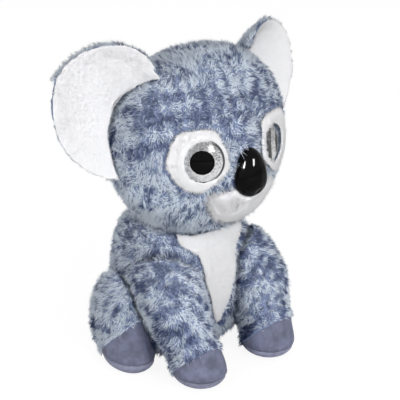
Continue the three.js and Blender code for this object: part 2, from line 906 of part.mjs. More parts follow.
addPair("arm_stuffing", geometryOf(arm.stuffing), fibreWhite, plushRoughness);
addPair("paw_upper", geometryOf(arm.upper), velourGrey, velourRoughness);
addPair("paw_sole", geometryOf(arm.sole), velourGrey, velourRoughness);
addPair("leg_cover", geometryOf(leg.cover), mottledBlue, plushRoughness);
addPair("leg_stuffing", geometryOf(leg.stuffing), fibreWhite, plushRoughness);
addPair("foot_upper", geometryOf(leg.upper), velourGrey, velourRoughness);
addPair("foot_sole", geometryOf(leg.sole), velourGrey, velourRoughness);

export default koala;
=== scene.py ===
"""A seated plush koala: mottled fur, short white pile, velour paws, glitter eyes and a glossy nose.

The frame gives the solids. Each soft body gets a stuffed skin over its solids, and fur on the skin.
"""

import math
from dataclasses import dataclass, replace

import bmesh
import bpy
import numpy as np
from bpy.props import FloatProperty, FloatVectorProperty, IntProperty, PointerProperty
from mathutils import Matrix, Vector
from mathutils.bvhtree import BVHTree
from mathutils.kdtree import KDTree


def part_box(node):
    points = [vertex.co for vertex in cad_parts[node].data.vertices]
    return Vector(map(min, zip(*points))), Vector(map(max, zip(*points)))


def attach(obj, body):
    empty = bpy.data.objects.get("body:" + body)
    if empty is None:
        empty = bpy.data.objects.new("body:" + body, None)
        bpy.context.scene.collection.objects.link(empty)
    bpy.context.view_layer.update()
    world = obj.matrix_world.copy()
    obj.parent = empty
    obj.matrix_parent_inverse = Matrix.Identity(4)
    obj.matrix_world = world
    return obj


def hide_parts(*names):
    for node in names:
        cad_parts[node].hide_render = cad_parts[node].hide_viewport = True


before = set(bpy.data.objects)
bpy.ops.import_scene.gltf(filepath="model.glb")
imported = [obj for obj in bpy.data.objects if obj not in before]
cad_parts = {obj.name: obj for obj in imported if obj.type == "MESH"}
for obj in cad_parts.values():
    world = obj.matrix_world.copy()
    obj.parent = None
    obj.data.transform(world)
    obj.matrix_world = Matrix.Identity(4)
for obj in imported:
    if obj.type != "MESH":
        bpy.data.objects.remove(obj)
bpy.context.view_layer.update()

bl_info = {
    "name": "Plush koala",
    "version": (1, 0, 0),
    "blender": (4, 5, 0),
    "location": "3D View > Sidebar > Koala",
    "description": "Builds the fur, pile, velour, eyes and nose of a seated plush koala",
    "category": "Object",
}

SIDES = ("left", "right")
HEAD_SOLIDS = ("head_cover", "head_stuffing")
TORSO_SOLIDS = ("torso_cover", "torso_stuffing", "pellet_pouch")
PATCHES = ("eye_patch_left", "eye_patch_right", "muzzle_band")
EYE_DOMES = ("eye_dome_left", "eye_dome_right")
STRAND_UV = "OFBake"
WELD = 1e-6
PIECE_TRIANGLES = 180000
STRAIGHT_STRAND_TRIANGLES = 4
BENT_STRAND_TRIANGLES = 10
UP = Vector((0, 0, 1))
FRONT = Vector((0, -1, 0))
MM_PER_METRE = 1e3
WHITE = (1, 1, 1, 1)

# Lengths of the head and face, in metres

BRIDGE_RISE = 0.003
BRIDGE_REACH = 0.013
BRIDGE_SPREAD = 0.007
BRIDGE_HALF_WIDTH = 0.009
SOCKET_DEPTH = 0.004
SOCKET_REACH = 0.017
CHEEK_HALF_WIDTH = 0.07
CHEEK_FADE = 0.02
CROWN_FADE = 0.02
BROW_FADE = 0.016
CHIN_FADE = 0.014
HEAD_BLOTCH = 0.0047
HEAD_WHORL = 0.018
PATCH_GAP = 0.0026
PLASTIC_GAP = 0.0018
HEAD_NECK_GAP = 0.001
CLOTH_INSET = 0.0002
BAND_RISE = 0.0013
PATCH_EDGE = 0.001
PILE_GAP = 0.0002
EYE_EDGE_WIDTH = 0.004
EYE_PARTING = 0.0165
EYE_PARTING_WIDTH = 0.002
EYE_SURROUND = 0.0185
EYE_SKIRT = 0.0022
FACE_WHORL = 0.02
PIT_RADIUS = 0.0021
PIT_DEPTH = 0.0007

# Shares of the nose's height and width

PIT_HEIGHT = 0.16
NOSE_TAPER = 0.2

# Lengths of the ears, in metres

EAR_ROOT_DROP = 0.02
EAR_BLOTCH = 0.009
EAR_WHORL = 0.025
LINING_WHORL = 0.03
LINING_GAP = 0.0008
HOLLOW_RISE = 0.003
HOLLOW_REACH = 0.016
HEAD_SIDE_REACH = 0.006
RIM_REACH = 0.003

# Shares of an ear's distance from the middle of the head

EAR_ROOT_PLACE = 0.5
HOLLOW_SHIFT = 0.13

# Lengths of the torso and limbs, in metres, with a place on the slanting plane of each hem

BODY_BLOTCH = 0.0042
BODY_WHORL = 0.02
TORSO_NECK_GAP = 0.0015
TORSO_FLOOR_GAP = 0.003
TORSO_SEAM = 0.006
BIB_GAP = 0.0017
BIB_EDGE_REACH = 0.005
BIB_REACH = 0.009
ARM_TOP_REACH = 0.008
STRAND_FLOOR_GAP = 0.0004
LIMB_FLOOR_GAP = 0.0025
LIMB_INSET = 0.0004
HEMS = {"paw": (0, -0.042, 0), "foot": (0, 0.018, 0)}
HEM_SEAM = 0.0014
HEM_GAP = 0.0004
HEM_SLOPE = 0.008
HEM_FADE = 0.1
SOLE_SEAM = 0.0009
SOLE_GROOVE_WIDTH = 0.0011
TOE_GROOVE_DEPTH = 0.0007
TOE_GROOVE_WIDTH = 0.0008
STITCH_RISE = 0.001
STITCH_HEM_GAP = 0.001
STITCH_SPACING = 0.0021
STITCH_SIZE = (0.001, 0.00042, 0.00034)
STITCH_SCATTER = 0.0002

# How strands and stitches differ among themselves: shares of their own size, tones and radians

LENGTH_RANGE = (0.7, 1.15)
CLUMP_LENGTH_RANGE = (0.8, 1.2)
CLUMP_LEAN_SPREAD = 0.08
CLUMP_TONE_SPREAD = 0.09
TONE_SPREAD = 0.18
STITCH_TURN = 0.35


# Settings


def colour_prop(name, description, default):
    return FloatVectorProperty(
        name=name, description=description, default=default, subtype="COLOR", size=3, min=0, max=1
    )


def length_prop(name, description, default):
    return FloatProperty(name=name, description=description, default=default, unit="LENGTH", precision=5)


def share_prop(name, description, default):
    return FloatProperty(
        name=name, description=description, default=default, subtype="FACTOR", min=0, max=1
    )


def place_prop(name, description, default, subtype="DIRECTION"):
    return FloatVectorProperty(name=name, description=description, default=default, subtype=subtype, size=3)


def number_prop(name, description, default):
    return FloatProperty(name=name, description=description, default=default, min=0)


class FurSettings(bpy.types.PropertyGroup):
    """Sizes and numbers of the mottled fur and of the white pile. A density is in strands to a mm²."""

    fur_length: length_prop("Fur", "Length of a strand of the mottled fur", 0.0054)
    fur_width: length_prop("Fur strand", "Width of a strand of the mottled fur at its root", 0.00052)
    curled_density: number_prop("Curled strands", "Bent strands of mottled fur to a square millimetre", 0.5)
    straight_density: number_prop("Straight strands", "Straight strands to a square millimetre", 1.0)
    pile_length: length_prop("Pile", "Length of a strand of the white pile", 0.0024)
    pile_width: length_prop("Pile strand", "Width of a strand of the white pile at its root", 0.00044)
    pile_density: number_prop("Pile strands", "Strands of white pile to a square millimetre", 4.0)
    clump: length_prop("Clump", "Distance between the middles of two clumps of fur", 0.0027)
    lean: share_prop("Lean", "How far the fur lies down, from upright to flat", 0.6)
    gather: share_prop("Gather", "How far the tips of a clump draw together", 0.5)
    fur_softness: share_prop("Fur softness", "How far a strand of fur is lit as the skin under it", 0.5)
    pile_softness: share_prop("Pile softness", "How far a strand of pile is lit as the skin under it", 0.78)
    seed: IntProperty(name="Seed", description="Start of the random places", default=7)


class SkinSettings(bpy.types.PropertyGroup):
    """Stuffed skins under the fur and the velour."""

    inset: length_prop("Inset", "Depth of a furry skin under the solid's surface", 0.0014)
    coarse: length_prop("Coarse grid", "Spacing of the points of a large skin", 0.0034)
    fine: length_prop("Fine grid", "Spacing of the points of a thin skin", 0.0014)
    pressure: number_prop("Pressure", "Cloth pressure of the stuffing", 4.0)
    frames: IntProperty(name="Frames", description="Frames that the cloth settles for", default=20)
    cap: length_prop("Cap", "The most that a point of a stuffed skin moves", 0.0016)
    sleeve_inset: length_prop("Sleeve inset", "Depth of an arm's or leg's furry skin under its solid", 0.0022)
    bridge: length_prop("Bridge", "How far the skin stands out over the nose", 0.0042)
    ear_hollow: length_prop("Ear hollow", "Depth of the hollow in the front of an ear", 0.0024)
    seam_rise: length_prop("Seam rise", "Height of a sole's seam over the sole's solid", 0.0022)


class ColourSettings(bpy.types.PropertyGroup):
    """Colours of the cloth and of the plastic, in linear light."""

    root: colour_prop("Fur root", "Navy at the root of the fur", (0.042, 0.068, 0.19))
    middle: colour_prop("Fur middle", "Blue half way up the fur", (0.25, 0.33, 0.52))
    tip: colour_prop("Fur tip", "Pale blue at the tip of the fur", (0.8, 0.88, 0.98))
    white: colour_prop("White pile", "White of the ears, face and chest", (0.93, 0.93, 0.945))
    velour: colour_prop("Velour", "Lavender grey of the paws", (0.138, 0.148, 0.228))
    sole: colour_prop("Sole", "Paler velour of the soles", (0.24, 0.25, 0.35))
    thread: colour_prop("Thread", "Dark thread of the sole's seam", (0.03, 0.034, 0.07))
    black: colour_prop("Black", "Black plastic of the pupils and nose", (0.002, 0.002, 0.0022))
    glitter: colour_prop("Glitter", "Silver flakes of the iris", (0.68, 0.68, 0.69))
    washer: colour_prop("Washer", "Plastic of the lock washers", (0.68, 0.68, 0.66))


class FaceSettings(bpy.types.PropertyGroup):
    """Sizes of the eyes and nose."""

    eye_radius: length_prop("Eye", "Radius of an eye", 0.015)
    pupil_radius: length_prop("Pupil", "Radius of a pupil", 0.0082)
    ring_width: length_prop("Eye rim", "Width of the dark rim of an eye", 0.0014)
    crown: length_prop("Eye crown", "Height of an eye's dome", 0.0048)
    eye_spread: length_prop("Eye spread", "How far an eye lies outwards of its seat", 0.0018)
    eye_lift: length_prop("Eye lift", "How far an eye lies above its seat", 0.0013)
    eye_sink: length_prop("Eye sink", "How far an eye lies behind its seat", 0.0012)
    eye_turn: FloatProperty(
        name="Eye turn", description="How far an eye looks outwards from its seat",
        default=math.radians(11.0), subtype="ANGLE",
    )
    muzzle_lift: length_prop("Muzzle lift", "How far the ends of the muzzle's band turn up", 0.0032)
    nose_detail: length_prop("Nose grid", "Spacing of the points of the nose", 0.0008)


class StageSettings(bpy.types.PropertyGroup):
    """Camera and lamps."""

    azimuth: FloatProperty(
        name="Azimuth", description="Camera's angle round the toy",
        default=math.radians(-42.6), subtype="ANGLE",
    )
    elevation: FloatProperty(
        name="Elevation", description="Camera's angle above level",
        default=math.radians(20.0), subtype="ANGLE",
    )
    distance: length_prop("Distance", "From the camera to the toy", 0.8)
    focal: number_prop("Lens", "Focal length in millimetres", 101.4)
    aim: place_prop("Aim", "What the camera and the lamps look at", (0, -0.023, 0.118), "TRANSLATION")
    key: number_prop("Key lamp", "Power of the main lamp in watts", 2.7)
    key_size: length_prop("Key size", "Width of the main lamp", 0.4)
    key_direction: place_prop(
        "Key direction", "Towards the main lamp: right, up and back of the camera", (0.46, 0.22, 0.86)
    )
    fill: number_prop("Fill lamp", "Power of the second lamp in watts", 1.5)
    fill_size: length_prop("Fill size", "Width of the second lamp", 0.26)
    fill_direction: place_prop(
        "Fill direction", "Towards the second lamp: right, up and back of the camera", (-0.699, 0.206, 0.685)
    )
    front: number_prop("Front lamp", "Power of the broad lamp beside the camera in watts", 8.8)
    front_size: length_prop("Front size", "Width of the broad lamp beside the camera", 1.1)
    front_direction: place_prop(
        "Front direction", "Towards the broad lamp: right, up and back of the camera", (0.35, -0.2, 0.91)
    )
    glint: number_prop("Glint", "How much brighter the first two lamps are in reflections", 24.0)
    lamp_distance: length_prop("Lamp distance", "From the lamps to the toy", 1.3)
    surround: number_prop("Surround", "Strength of the even light from all sides", 0.55)


# Shader nodes


class Field:
    """A shader socket that takes part in sums, products and powers."""

    def __init__(self, shader, socket):
        self.shader = shader
        self.socket = socket

    def _math(self, operation, other, swapped=False):
        pair = (other, self) if swapped else (self, other)
        return self.shader.make("ShaderNodeMath", {"operation": operation}, pair)

    def __add__(self, other):
        return self._math("ADD", other)

    def __radd__(self, other):
        return self._math("ADD", other)

    def __sub__(self, other):
        return self._math("SUBTRACT", other)

    def __rsub__(self, other):
        return self._math("SUBTRACT", other, swapped=True)

    def __mul__(self, other):
        return self._math("MULTIPLY", other)

    def __rmul__(self, other):
        return self._math("MULTIPLY", other)

    def __truediv__(self, other):
        return self._math("DIVIDE", other)

    def __pow__(self, other):
        return self._math("POWER", other)

    def above(self, other):
        return self._math("GREATER_THAN", other)

    def output(self, name):
        """Another output of the same node."""
        return Field(self.shader, self.socket.node.outputs[name])


class Shader:
    """The nodes of a material or world, all made by one method."""

    def __init__(self, owner):
        owner.use_nodes = True
        kind = "World" if isinstance(owner, bpy.types.World) else "Material"
        self.ending = f"ShaderNodeOutput{kind}"
        self.tree = owner.node_tree
        self.tree.nodes.clear()

    def make(self, kind, settings=None, inputs=(), output=0):
        """A node with its settings and the values or links of its sockets. Returns one output."""
        node = self.tree.nodes.new(kind)
        for name, value in (settings or {}).items():
            if name == "stops":
                self._set_stops(node.color_ramp, value)
            else:
                setattr(node, name, value)
        pairs = inputs.items() if isinstance(inputs, dict) else enumerate(inputs)
        for key, value in pairs:
            if isinstance(value, Field):
                self.tree.links.new(value.socket, node.inputs[key])
            elif value is not None:
                node.inputs[key].default_value = value
        return Field(self, node.outputs[output]) if len(node.outputs) else None

    @staticmethod
    def _set_stops(ramp, stops):
        while len(ramp.elements) < len(stops):
            ramp.elements.new(0.5)
        for element, (place, colour) in zip(ramp.elements, stops):
            element.position = place
            element.color = opaque(colour)

    def place(self):
        return self.make("ShaderNodeTexCoord", output="Object")

    def noise(self, scale, detail=3.0, roughness=0.6):
        values = {"Vector": self.place(), "Scale": scale, "Detail": detail, "Roughness": roughness}
        return self.make("ShaderNodeTexNoise", inputs=values)

    def vector(self, operation, first, second=None, output=0):
        return self.make("ShaderNodeVectorMath", {"operation": operation}, [first, second], output)

    def mix(self, factor, first, second):
        values = {0: factor, 6: first, 7: second}
        return self.make("ShaderNodeMix", {"data_type": "RGBA"}, values, output=2)

    def ramp(self, value, stops):
        return self.make("ShaderNodeValToRGB", {"stops": stops}, [value])

    def bump(self, height, strength, distance):
        values = {"Height": height, "Strength": strength, "Distance": distance}
        return self.make("ShaderNodeBump", inputs=values)

    def finish(self, surface):
        self.make(self.ending, inputs={"Surface": surface})

    def principled(self, values):
        self.finish(self.make("ShaderNodeBsdfPrincipled", inputs=values))


def opaque(colour):
    return (*colour, 1)


def scaled(colour, factor):
    """A lighter or darker colour."""
    return [min(factor * channel, 1) for channel in colour]


# Materials, each made once, with how many lumps or flakes of a pattern go to a metre

KNIT_BLOTCHES = 90.0
KNIT_GRAIN = 1400.0
VELOUR_CLOUDS = 85.0
VELOUR_STREAKS = 420.0
VELOUR_NAP = 2600.0
THREAD_TWIST = 3000.0
MOULDING_WAVES = 60.0
MOULDING_DUST = 1800.0
WASHER_GRAIN = 900.0
GLITTER_FLAKES = 1400.0

# Depths of the relief of those patterns, in metres

KNIT_RELIEF = 0.0006
VELOUR_RELIEF = 0.0005
MOULDING_RELIEF = 0.0008
GLITTER_RELIEF = 0.0002


def material_of(name, fill_in):
    """The material of that name. fill_in(shader, colours) makes its nodes the first time."""
    found = bpy.data.materials.get(name)
    if found is None:
        found = bpy.data.materials.new(name)
        fill_in(Shader(found), bpy.context.scene.koala_colours)
    return found


def strand_parts(shader):
    """A strand's tone and the share of its length, both from the strand's own map."""
    place = shader.make("ShaderNodeUVMap", {"uv_map": STRAND_UV})
    parts = shader.make("ShaderNodeSeparateXYZ", inputs=[place])
    return parts.output("X"), parts.output("Y")


def fill_fur(shader, colours):
    """Navy roots, blue middles and pale tips, all lighter or darker with the strand's tone."""
    tone, along = strand_parts(shader)
    stops = [
        (0.0, scaled(colours.root, 0.8)), (0.24, colours.root), (0.45, colours.middle), (0.72, colours.tip),
    ]
    colour = shader.ramp(along * 0.58 + tone * 0.84 - 0.2, stops)
    shader.principled({"Base Color": colour, "Roughness": 0.8, "Specular IOR Level": 0.3})


def fill_pile(shader, colours):
    """White pile with painted shade, a little greyer towards the root down in the pile, and some strands
    greyer than others.
    """
    tone, along = strand_parts(shader)
    # Painted shade: the root stop is greyer, standing in for the shade down in the pile.
    stops = [(0.0, scaled(colours.white, 0.9)), (0.5, colours.white)]
    colour = shader.ramp(along * 0.5 + tone * 1.2 - 0.35, stops)
    shader.principled({"Base Color": colour, "Roughness": 0.85, "Specular IOR Level": 0.3})


def backing(dark, pale):
    """Knitted backing under fur: blotched, with a fine grain."""

    def fill_in(shader, colours):
        normal = shader.bump(shader.noise(KNIT_GRAIN, detail=2.0), 0.4, KNIT_RELIEF)
        colour = shader.mix(shader.noise(KNIT_BLOTCHES), opaque(dark(colours)), opaque(pale(colours)))
        shader.principled({"Base Color": colour, "Roughness": 0.9, "Normal": normal})

    return fill_in


def velour(name):
    """Short crushed pile: cloudy patches where it lies another way, and a fine nap."""

    def fill_in(shader, colours):
        colour = getattr(colours, name)
        cloud = shader.noise(VELOUR_CLOUDS, detail=2.5)
        streak = shader.noise(VELOUR_STREAKS, detail=4.0, roughness=0.7)
        nap = shader.noise(VELOUR_NAP, detail=2.0)
        value = cloud * 3.0 + streak - 1.5
        tint = shader.mix(value, opaque(scaled(colour, 0.72)), opaque(scaled(colour, 1.3)))
        normal = shader.bump(nap * 0.6 + streak * 0.4, 0.4, VELOUR_RELIEF)
        shader.principled({
            "Base Color": tint, "Roughness": 0.9, "Specular IOR Level": 0.2,
            "Sheen Weight": 0.06, "Normal": normal,
        })

    return fill_in


def fill_thread(shader, colours):
    """Dark twisted thread."""
    twist = shader.noise(THREAD_TWIST)
    tint = shader.mix(twist, opaque(colours.thread), opaque(scaled(colours.thread, 1.8)))
    shader.principled({"Base Color": tint, "Roughness": 0.7})


def fill_gloss(shader, colours):
    """Polished black plastic with the faint waves of a moulding and a little dust."""
    normal = shader.bump(shader.noise(MOULDING_WAVES, detail=1.0), 0.05, MOULDING_RELIEF)
    roughness = shader.noise(MOULDING_DUST, detail=2.0) * 0.05 + 0.05
    shader.principled({
        "Base Color": opaque(colours.black), "Roughness": roughness,
        "Specular IOR Level": 0.08, "Normal": normal,
    })


def fill_washer(shader, colours):
    """Pale moulded plastic."""
    grain = shader.noise(WASHER_GRAIN)
    shader.principled({"Base Color": opaque(colours.washer), "Roughness": grain * 0.2 + 0.4})


def eye_finish(centre, axis, face):
    """Black pupil, a silver glitter iris with painted shade that makes it darker towards the top and paler
    below, and a thin dark rim.
    """

    def fill_in(shader, colours):
        place = shader.vector("SUBTRACT", shader.place(), tuple(centre))
        along = shader.vector("DOT_PRODUCT", place, tuple(axis), output="Value")
        length = shader.vector("LENGTH", place, output="Value")
        across = (length * length - along * along) ** 0.5
        height = shader.make("ShaderNodeSeparateXYZ", inputs=[place], output="Z")
        values = {"Vector": shader.place(), "Scale": GLITTER_FLAKES}
        cells = shader.make("ShaderNodeTexVoronoi", inputs=values, output="Color")
        flake = shader.make("ShaderNodeSeparateColor", inputs=[cells])
        # Random flakes, plus painted shade: the iris gets darker with height towards its top.
        light = flake * 1.2 - height / face.eye_radius * 0.62 + 0.03
        silver = shader.mix(light, opaque(scaled(colours.glitter, 0.3)), opaque(colours.glitter))
        rim = across.above(face.eye_radius - face.ring_width)
        iris = across.above(face.pupil_radius)
        tint = shader.mix(rim, silver, opaque(scaled(colours.glitter, 0.12)))
        tint = shader.mix(iris, opaque(colours.black), tint)
        shader.principled({
            "Base Color": tint, "Roughness": iris * 0.06 + 0.05,
            "Specular IOR Level": 0.08, "Normal": shader.bump(flake * iris, 0.2, GLITTER_RELIEF),
        })

    return fill_in


def mottled_fur():
    return material_of("mottled_fur", fill_fur)


def white_pile():
    return material_of("white_pile", fill_pile)


def blue_backing():
    return material_of("blue_backing", backing(lambda c: c.root, lambda c: c.middle))


def white_backing():
    return material_of("white_backing", backing(lambda c: scaled(c.white, 0.95), lambda c: c.white))


# Meshes


def linked(obj):
    bpy.context.scene.collection.objects.link(obj)
    return obj


def object_from(bm, name):
    mesh = bpy.data.meshes.new(name)
    bm.to_mesh(mesh)
    bm.free()
    return linked(bpy.data.objects.new(name, mesh))


def bmesh_of(obj):
    bm = bmesh.new()
    bm.from_mesh(obj.data)
    bm.normal_update()
    return bm


def write_back(bm, obj):
    bm.to_mesh(obj.data)
    bm.free()


def places_of(mesh):
    places = np.empty(len(mesh.vertices) * 3)
    mesh.vertices.foreach_get("co", places)
    return places.reshape(-1, 3)


def cad_bmesh(*nodes):
    """The CAD solids of these nodes with their corners merged."""
    bm = bmesh.new()
    for node in nodes:
        bm.from_mesh(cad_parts[node].data)
    bmesh.ops.remove_doubles(bm, verts=bm.verts, dist=WELD)
    return bm


def cad_tree(*nodes):
    bm = cad_bmesh(*nodes)
    tree = BVHTree.FromBMesh(bm)
    bm.free()
    return tree


def face_outward(bm):
    """Turns the faces of a closed mesh outwards."""
    bmesh.ops.recalc_face_normals(bm, faces=bm.faces)
    if bm.calc_volume(signed=True) < 0:
        bmesh.ops.reverse_faces(bm, faces=bm.faces)


def edges_in(geometry):
    return [item for item in geometry if isinstance(item, bmesh.types.BMEdge)]


def verts_in(geometry):
    return [item for item in geometry if isinstance(item, bmesh.types.BMVert)]


def split_along(bm, point, normal, clear=False):
    """Cuts the mesh along a plane, and drops what is in front of it if asked. Returns the cut's edges."""
    geometry = bm.verts[:] + bm.edges[:] + bm.faces[:]
    cut = bmesh.ops.bisect_plane(
        bm, geom=geometry, dist=WELD, plane_co=point, plane_no=normal, clear_outer=clear
    )
    return edges_in(cut["geom_cut"])


def apply_modifiers(obj):
    graph = bpy.context.evaluated_depsgraph_get()
    done = bpy.data.meshes.new_from_object(obj.evaluated_get(graph))
    done.name = obj.name
    obj.modifiers.clear()
    obj.data = done


# Stuffed skins


def remeshed(obj, spacing):
    """One even skin over all that the object's solids fill."""
    modifier = obj.modifiers.new("even", "REMESH")
    modifier.mode = "VOXEL"
    modifier.voxel_size = spacing
    apply_modifiers(obj)
    bm = bmesh_of(obj)
    bmesh.ops.delete(bm, geom=inner_surfaces(bm), context="VERTS")
    write_back(bm, obj)


def inner_surfaces(bm):
    """Every point that isn't on the largest closed surface."""
    unseen = set(bm.verts)
    islands = []
    while unseen:
        island = {unseen.pop()}
        front = list(island)
        while front:
            vert = front.pop()
            for edge in vert.link_edges:
                other = edge.other_vert(vert)
                if other in unseen:
                    unseen.discard(other)
                    island.add(other)
                    front.append(other)
        islands.append(island)
    largest = max(islands, key=len)
    return [vert for vert in bm.verts if vert not in largest]


def relaxed(obj, rounds, tree, inset):
    """Rounds the skin off, then sets it back to its mean depth under the solids' surface."""
    bm = bmesh_of(obj)
    for _ in range(rounds):
        bmesh.ops.smooth_vert(
            bm, verts=bm.verts, factor=0.5, use_axis_x=True, use_axis_y=True, use_axis_z=True
        )
    bm.normal_update()
    depths = [(vert.co - tree.find_nearest(vert.co)[0]).dot(vert.normal) for vert in bm.verts]
    shift = -inset - sum(depths) / len(depths)
    for vert in bm.verts:
        vert.co += vert.normal * shift
    face_outward(bm)
    write_back(bm, obj)
    obj.data.shade_smooth()


def soft_skin(name, nodes, spacing, rounds, inset):
    """A rounded skin over these solids, at that depth under their surface."""
    obj = object_from(cad_bmesh(*nodes), name)
    remeshed(obj, spacing)
    relaxed(obj, rounds, cad_tree(*nodes), inset)
    return obj


def stuffed(obj, cap, seams=()):
    """Pumps a closed skin up as cloth that is held along its seams. No point moves further than cap.

    A seam is a plane and half the width that it holds: (point, normal, width).
    """
    scene = bpy.context.scene
    start = places_of(obj.data)
    cloth = obj.modifiers.new("stuffing", "CLOTH")
    cloth.settings.use_pressure = True
    cloth.settings.uniform_pressure_force = scene.koala_skin.pressure
    cloth.settings.effector_weights.gravity = 0
    held = np.zeros(len(start), bool)
    for point, normal, width in seams:
        held |= np.abs((start - np.array(point)) @ np.array(Vector(normal).normalized())) < width
    if held.any():
        obj.vertex_groups.new(name="seam").add(np.flatnonzero(held).tolist(), 1, "REPLACE")
        cloth.settings.vertex_group_mass = "seam"
    for number in range(1, scene.koala_skin.frames + 1):
        scene.frame_set(number)
    apply_modifiers(obj)
    scene.frame_set(1)
    moves = places_of(obj.data) - start
    reach = np.linalg.norm(moves, axis=1, keepdims=True)
    places = start + moves * np.minimum(cap / np.maximum(reach, WELD), 1)
    obj.data.vertices.foreach_set("co", places.reshape(-1))
    obj.vertex_groups.clear()
    subdivided(obj)


def subdivided(obj):
    finer = obj.modifiers.new("finer", "SUBSURF")
    finer.levels = finer.render_levels = 1
    apply_modifiers(obj)
    obj.data.shade_smooth()


def groove(obj, point, normal, depth, width, where=lambda place: True):
    """Draws a skin in along the plane where a seam runs."""
    point, normal = Vector(point), Vector(normal).normalized()
    bm = bmesh_of(obj)
    for vert in bm.verts:
        if where(vert.co):
            away = (vert.co - point).dot(normal) / width
            vert.co -= vert.normal * depth * math.exp(-away * away)
    write_back(bm, obj)


def dent(obj, point, facing, depth, reach):
    """Presses a hollow into the side of a skin that faces that way."""
    bm = bmesh_of(obj)
    for vert in bm.verts:
        across = (vert.co - point).cross(facing).length / reach
        vert.co -= facing * depth * max(vert.normal.dot(facing), 0) * math.exp(-(across**2))
    write_back(bm, obj)


def draw_in(obj, point, normal, depth, reach):
    """Draws a skin in behind a plane, by the whole depth from that reach on."""
    point, normal = Vector(point), Vector(normal).normalized()
    bm = bmesh_of(obj)
    for vert in bm.verts:
        share = min(max((vert.co - point).dot(normal) / reach, 0), 1)
        vert.co -= vert.normal * depth * share
    write_back(bm, obj)


def turn_up_ends(obj, lift):
    """Raises the left and right ends of a skin by lift, and its middle not at all."""
    bm = bmesh_of(obj)
    reach = max(vert.co.x for vert in bm.verts)
    for vert in bm.verts:
        vert.co.z += lift * (vert.co.x / reach) ** 2
    write_back(bm, obj)


def cut_part(obj, name, planes):
    """A closed copy of the part of a skin that lies behind every plane (point, normal)."""
    bm = bmesh_of(obj)
    for point, normal in planes:
        edges = split_along(bm, point, normal, clear=True)
        cap = bmesh.ops.holes_fill(bm, edges=edges, sides=0)["faces"]
        for face in cap:
            face.smooth = False
        bmesh.ops.triangulate(bm, faces=cap)
    face_outward(bm)
    return object_from(bm, name)


def settle_piece(obj, body, material, nodes=()):
    """Gives a piece its material, hides the solids of the nodes it stands for and hangs it on the body it
    rides on.
    """
    obj.data.materials.clear()
    obj.data.materials.append(material)
    if nodes:
        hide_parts(*nodes)
    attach(obj, body)
    return obj


# Fur


@dataclass
class Coat:
    """How one layer of fur or pile grows."""

    length: float
    width: float
    density: float
    lean: float
    gather: float
    clump: float
    seed: int
    softness: float
    scatter: float
    bends: bool = False
    lift: float = 0.0


def unit(vectors):
    return vectors / np.maximum(np.linalg.norm(vectors, axis=-1, keepdims=True), WELD**2)


def ripple(points, size, seed, waves=14):
    """A smooth random value for each place, with lumps about as large as size."""
    rng = np.random.default_rng(seed)
    directions = unit(rng.normal(size=(waves, 3))) * (math.pi / size)
    directions *= rng.uniform(0.6, 1.5, (waves, 1))
    phases = rng.uniform(0, 2 * math.pi, waves)
    return np.sin(points @ directions.T + phases).sum(1) / math.sqrt(waves / 2)


def near(points, distance, *nodes):
    """Which places lie within that distance of one of the nodes' solids."""
    tree = cad_tree(*nodes)
    return np.array([tree.find_nearest(Vector(p), distance)[0] is not None for p in points], bool)


def nearest_index(points, centres):
    tree = KDTree(len(centres))
    for number, centre in enumerate(centres):
        tree.insert(centre, number)
    tree.balance()
    return np.array([tree.find(point)[1] for point in points])


def random_places(obj, density, rng):
    """Random places on a mesh, so many to a square millimetre, and the direction of the skin there."""
    mesh = obj.data
    mesh.calc_loop_triangles()
    points = places_of(mesh)
    normals = np.empty(len(points) * 3)
    mesh.vertex_normals.foreach_get("vector", normals)
    normals = normals.reshape(-1, 3)
    corners = np.empty(len(mesh.loop_triangles) * 3, int)
    mesh.loop_triangles.foreach_get("vertices", corners)
    corners = corners.reshape(-1, 3)
    a, b, c = (points[corners[:, k]] for k in range(3))
    areas = np.linalg.norm(np.cross(b - a, c - a), axis=1) / 2
    count = int(areas.sum() * MM_PER_METRE**2 * density)
    chosen = corners[rng.choice(len(areas), count, p=areas / areas.sum())]
    shares = rng.random((count, 2))
    over = shares.sum(1) > 1
    shares[over] = 1 - shares[over]
    weights = np.column_stack([1 - shares.sum(1), shares])[:, :, None]
    return (points[chosen] * weights).sum(1), unit((normals[chosen] * weights).sum(1))


def strand_template(bends):
    """A closed three-sided strand, one unit wide and high, with its root at the origin."""
    bm = bmesh.new()
    bmesh.ops.create_cone(bm, cap_ends=True, segments=3, radius1=0.5, radius2=0, depth=1)
    bmesh.ops.remove_doubles(bm, verts=bm.verts, dist=WELD)
    bmesh.ops.translate(bm, vec=UP / 2, verts=bm.verts)
    if bends:
        edges = split_along(bm, UP / 2, UP)
        middle = list({vert for edge in edges for vert in edge.verts})
        bmesh.ops.scale(bm, vec=(1.6, 1.6, 1), verts=middle)
    bmesh.ops.triangulate(bm, faces=bm.faces)
    bm.verts.index_update()
    corners = np.array([vert.co for vert in bm.verts])
    faces = np.array([[vert.index for vert in face.verts] for face in bm.faces])
    bm.free()
    return corners, faces


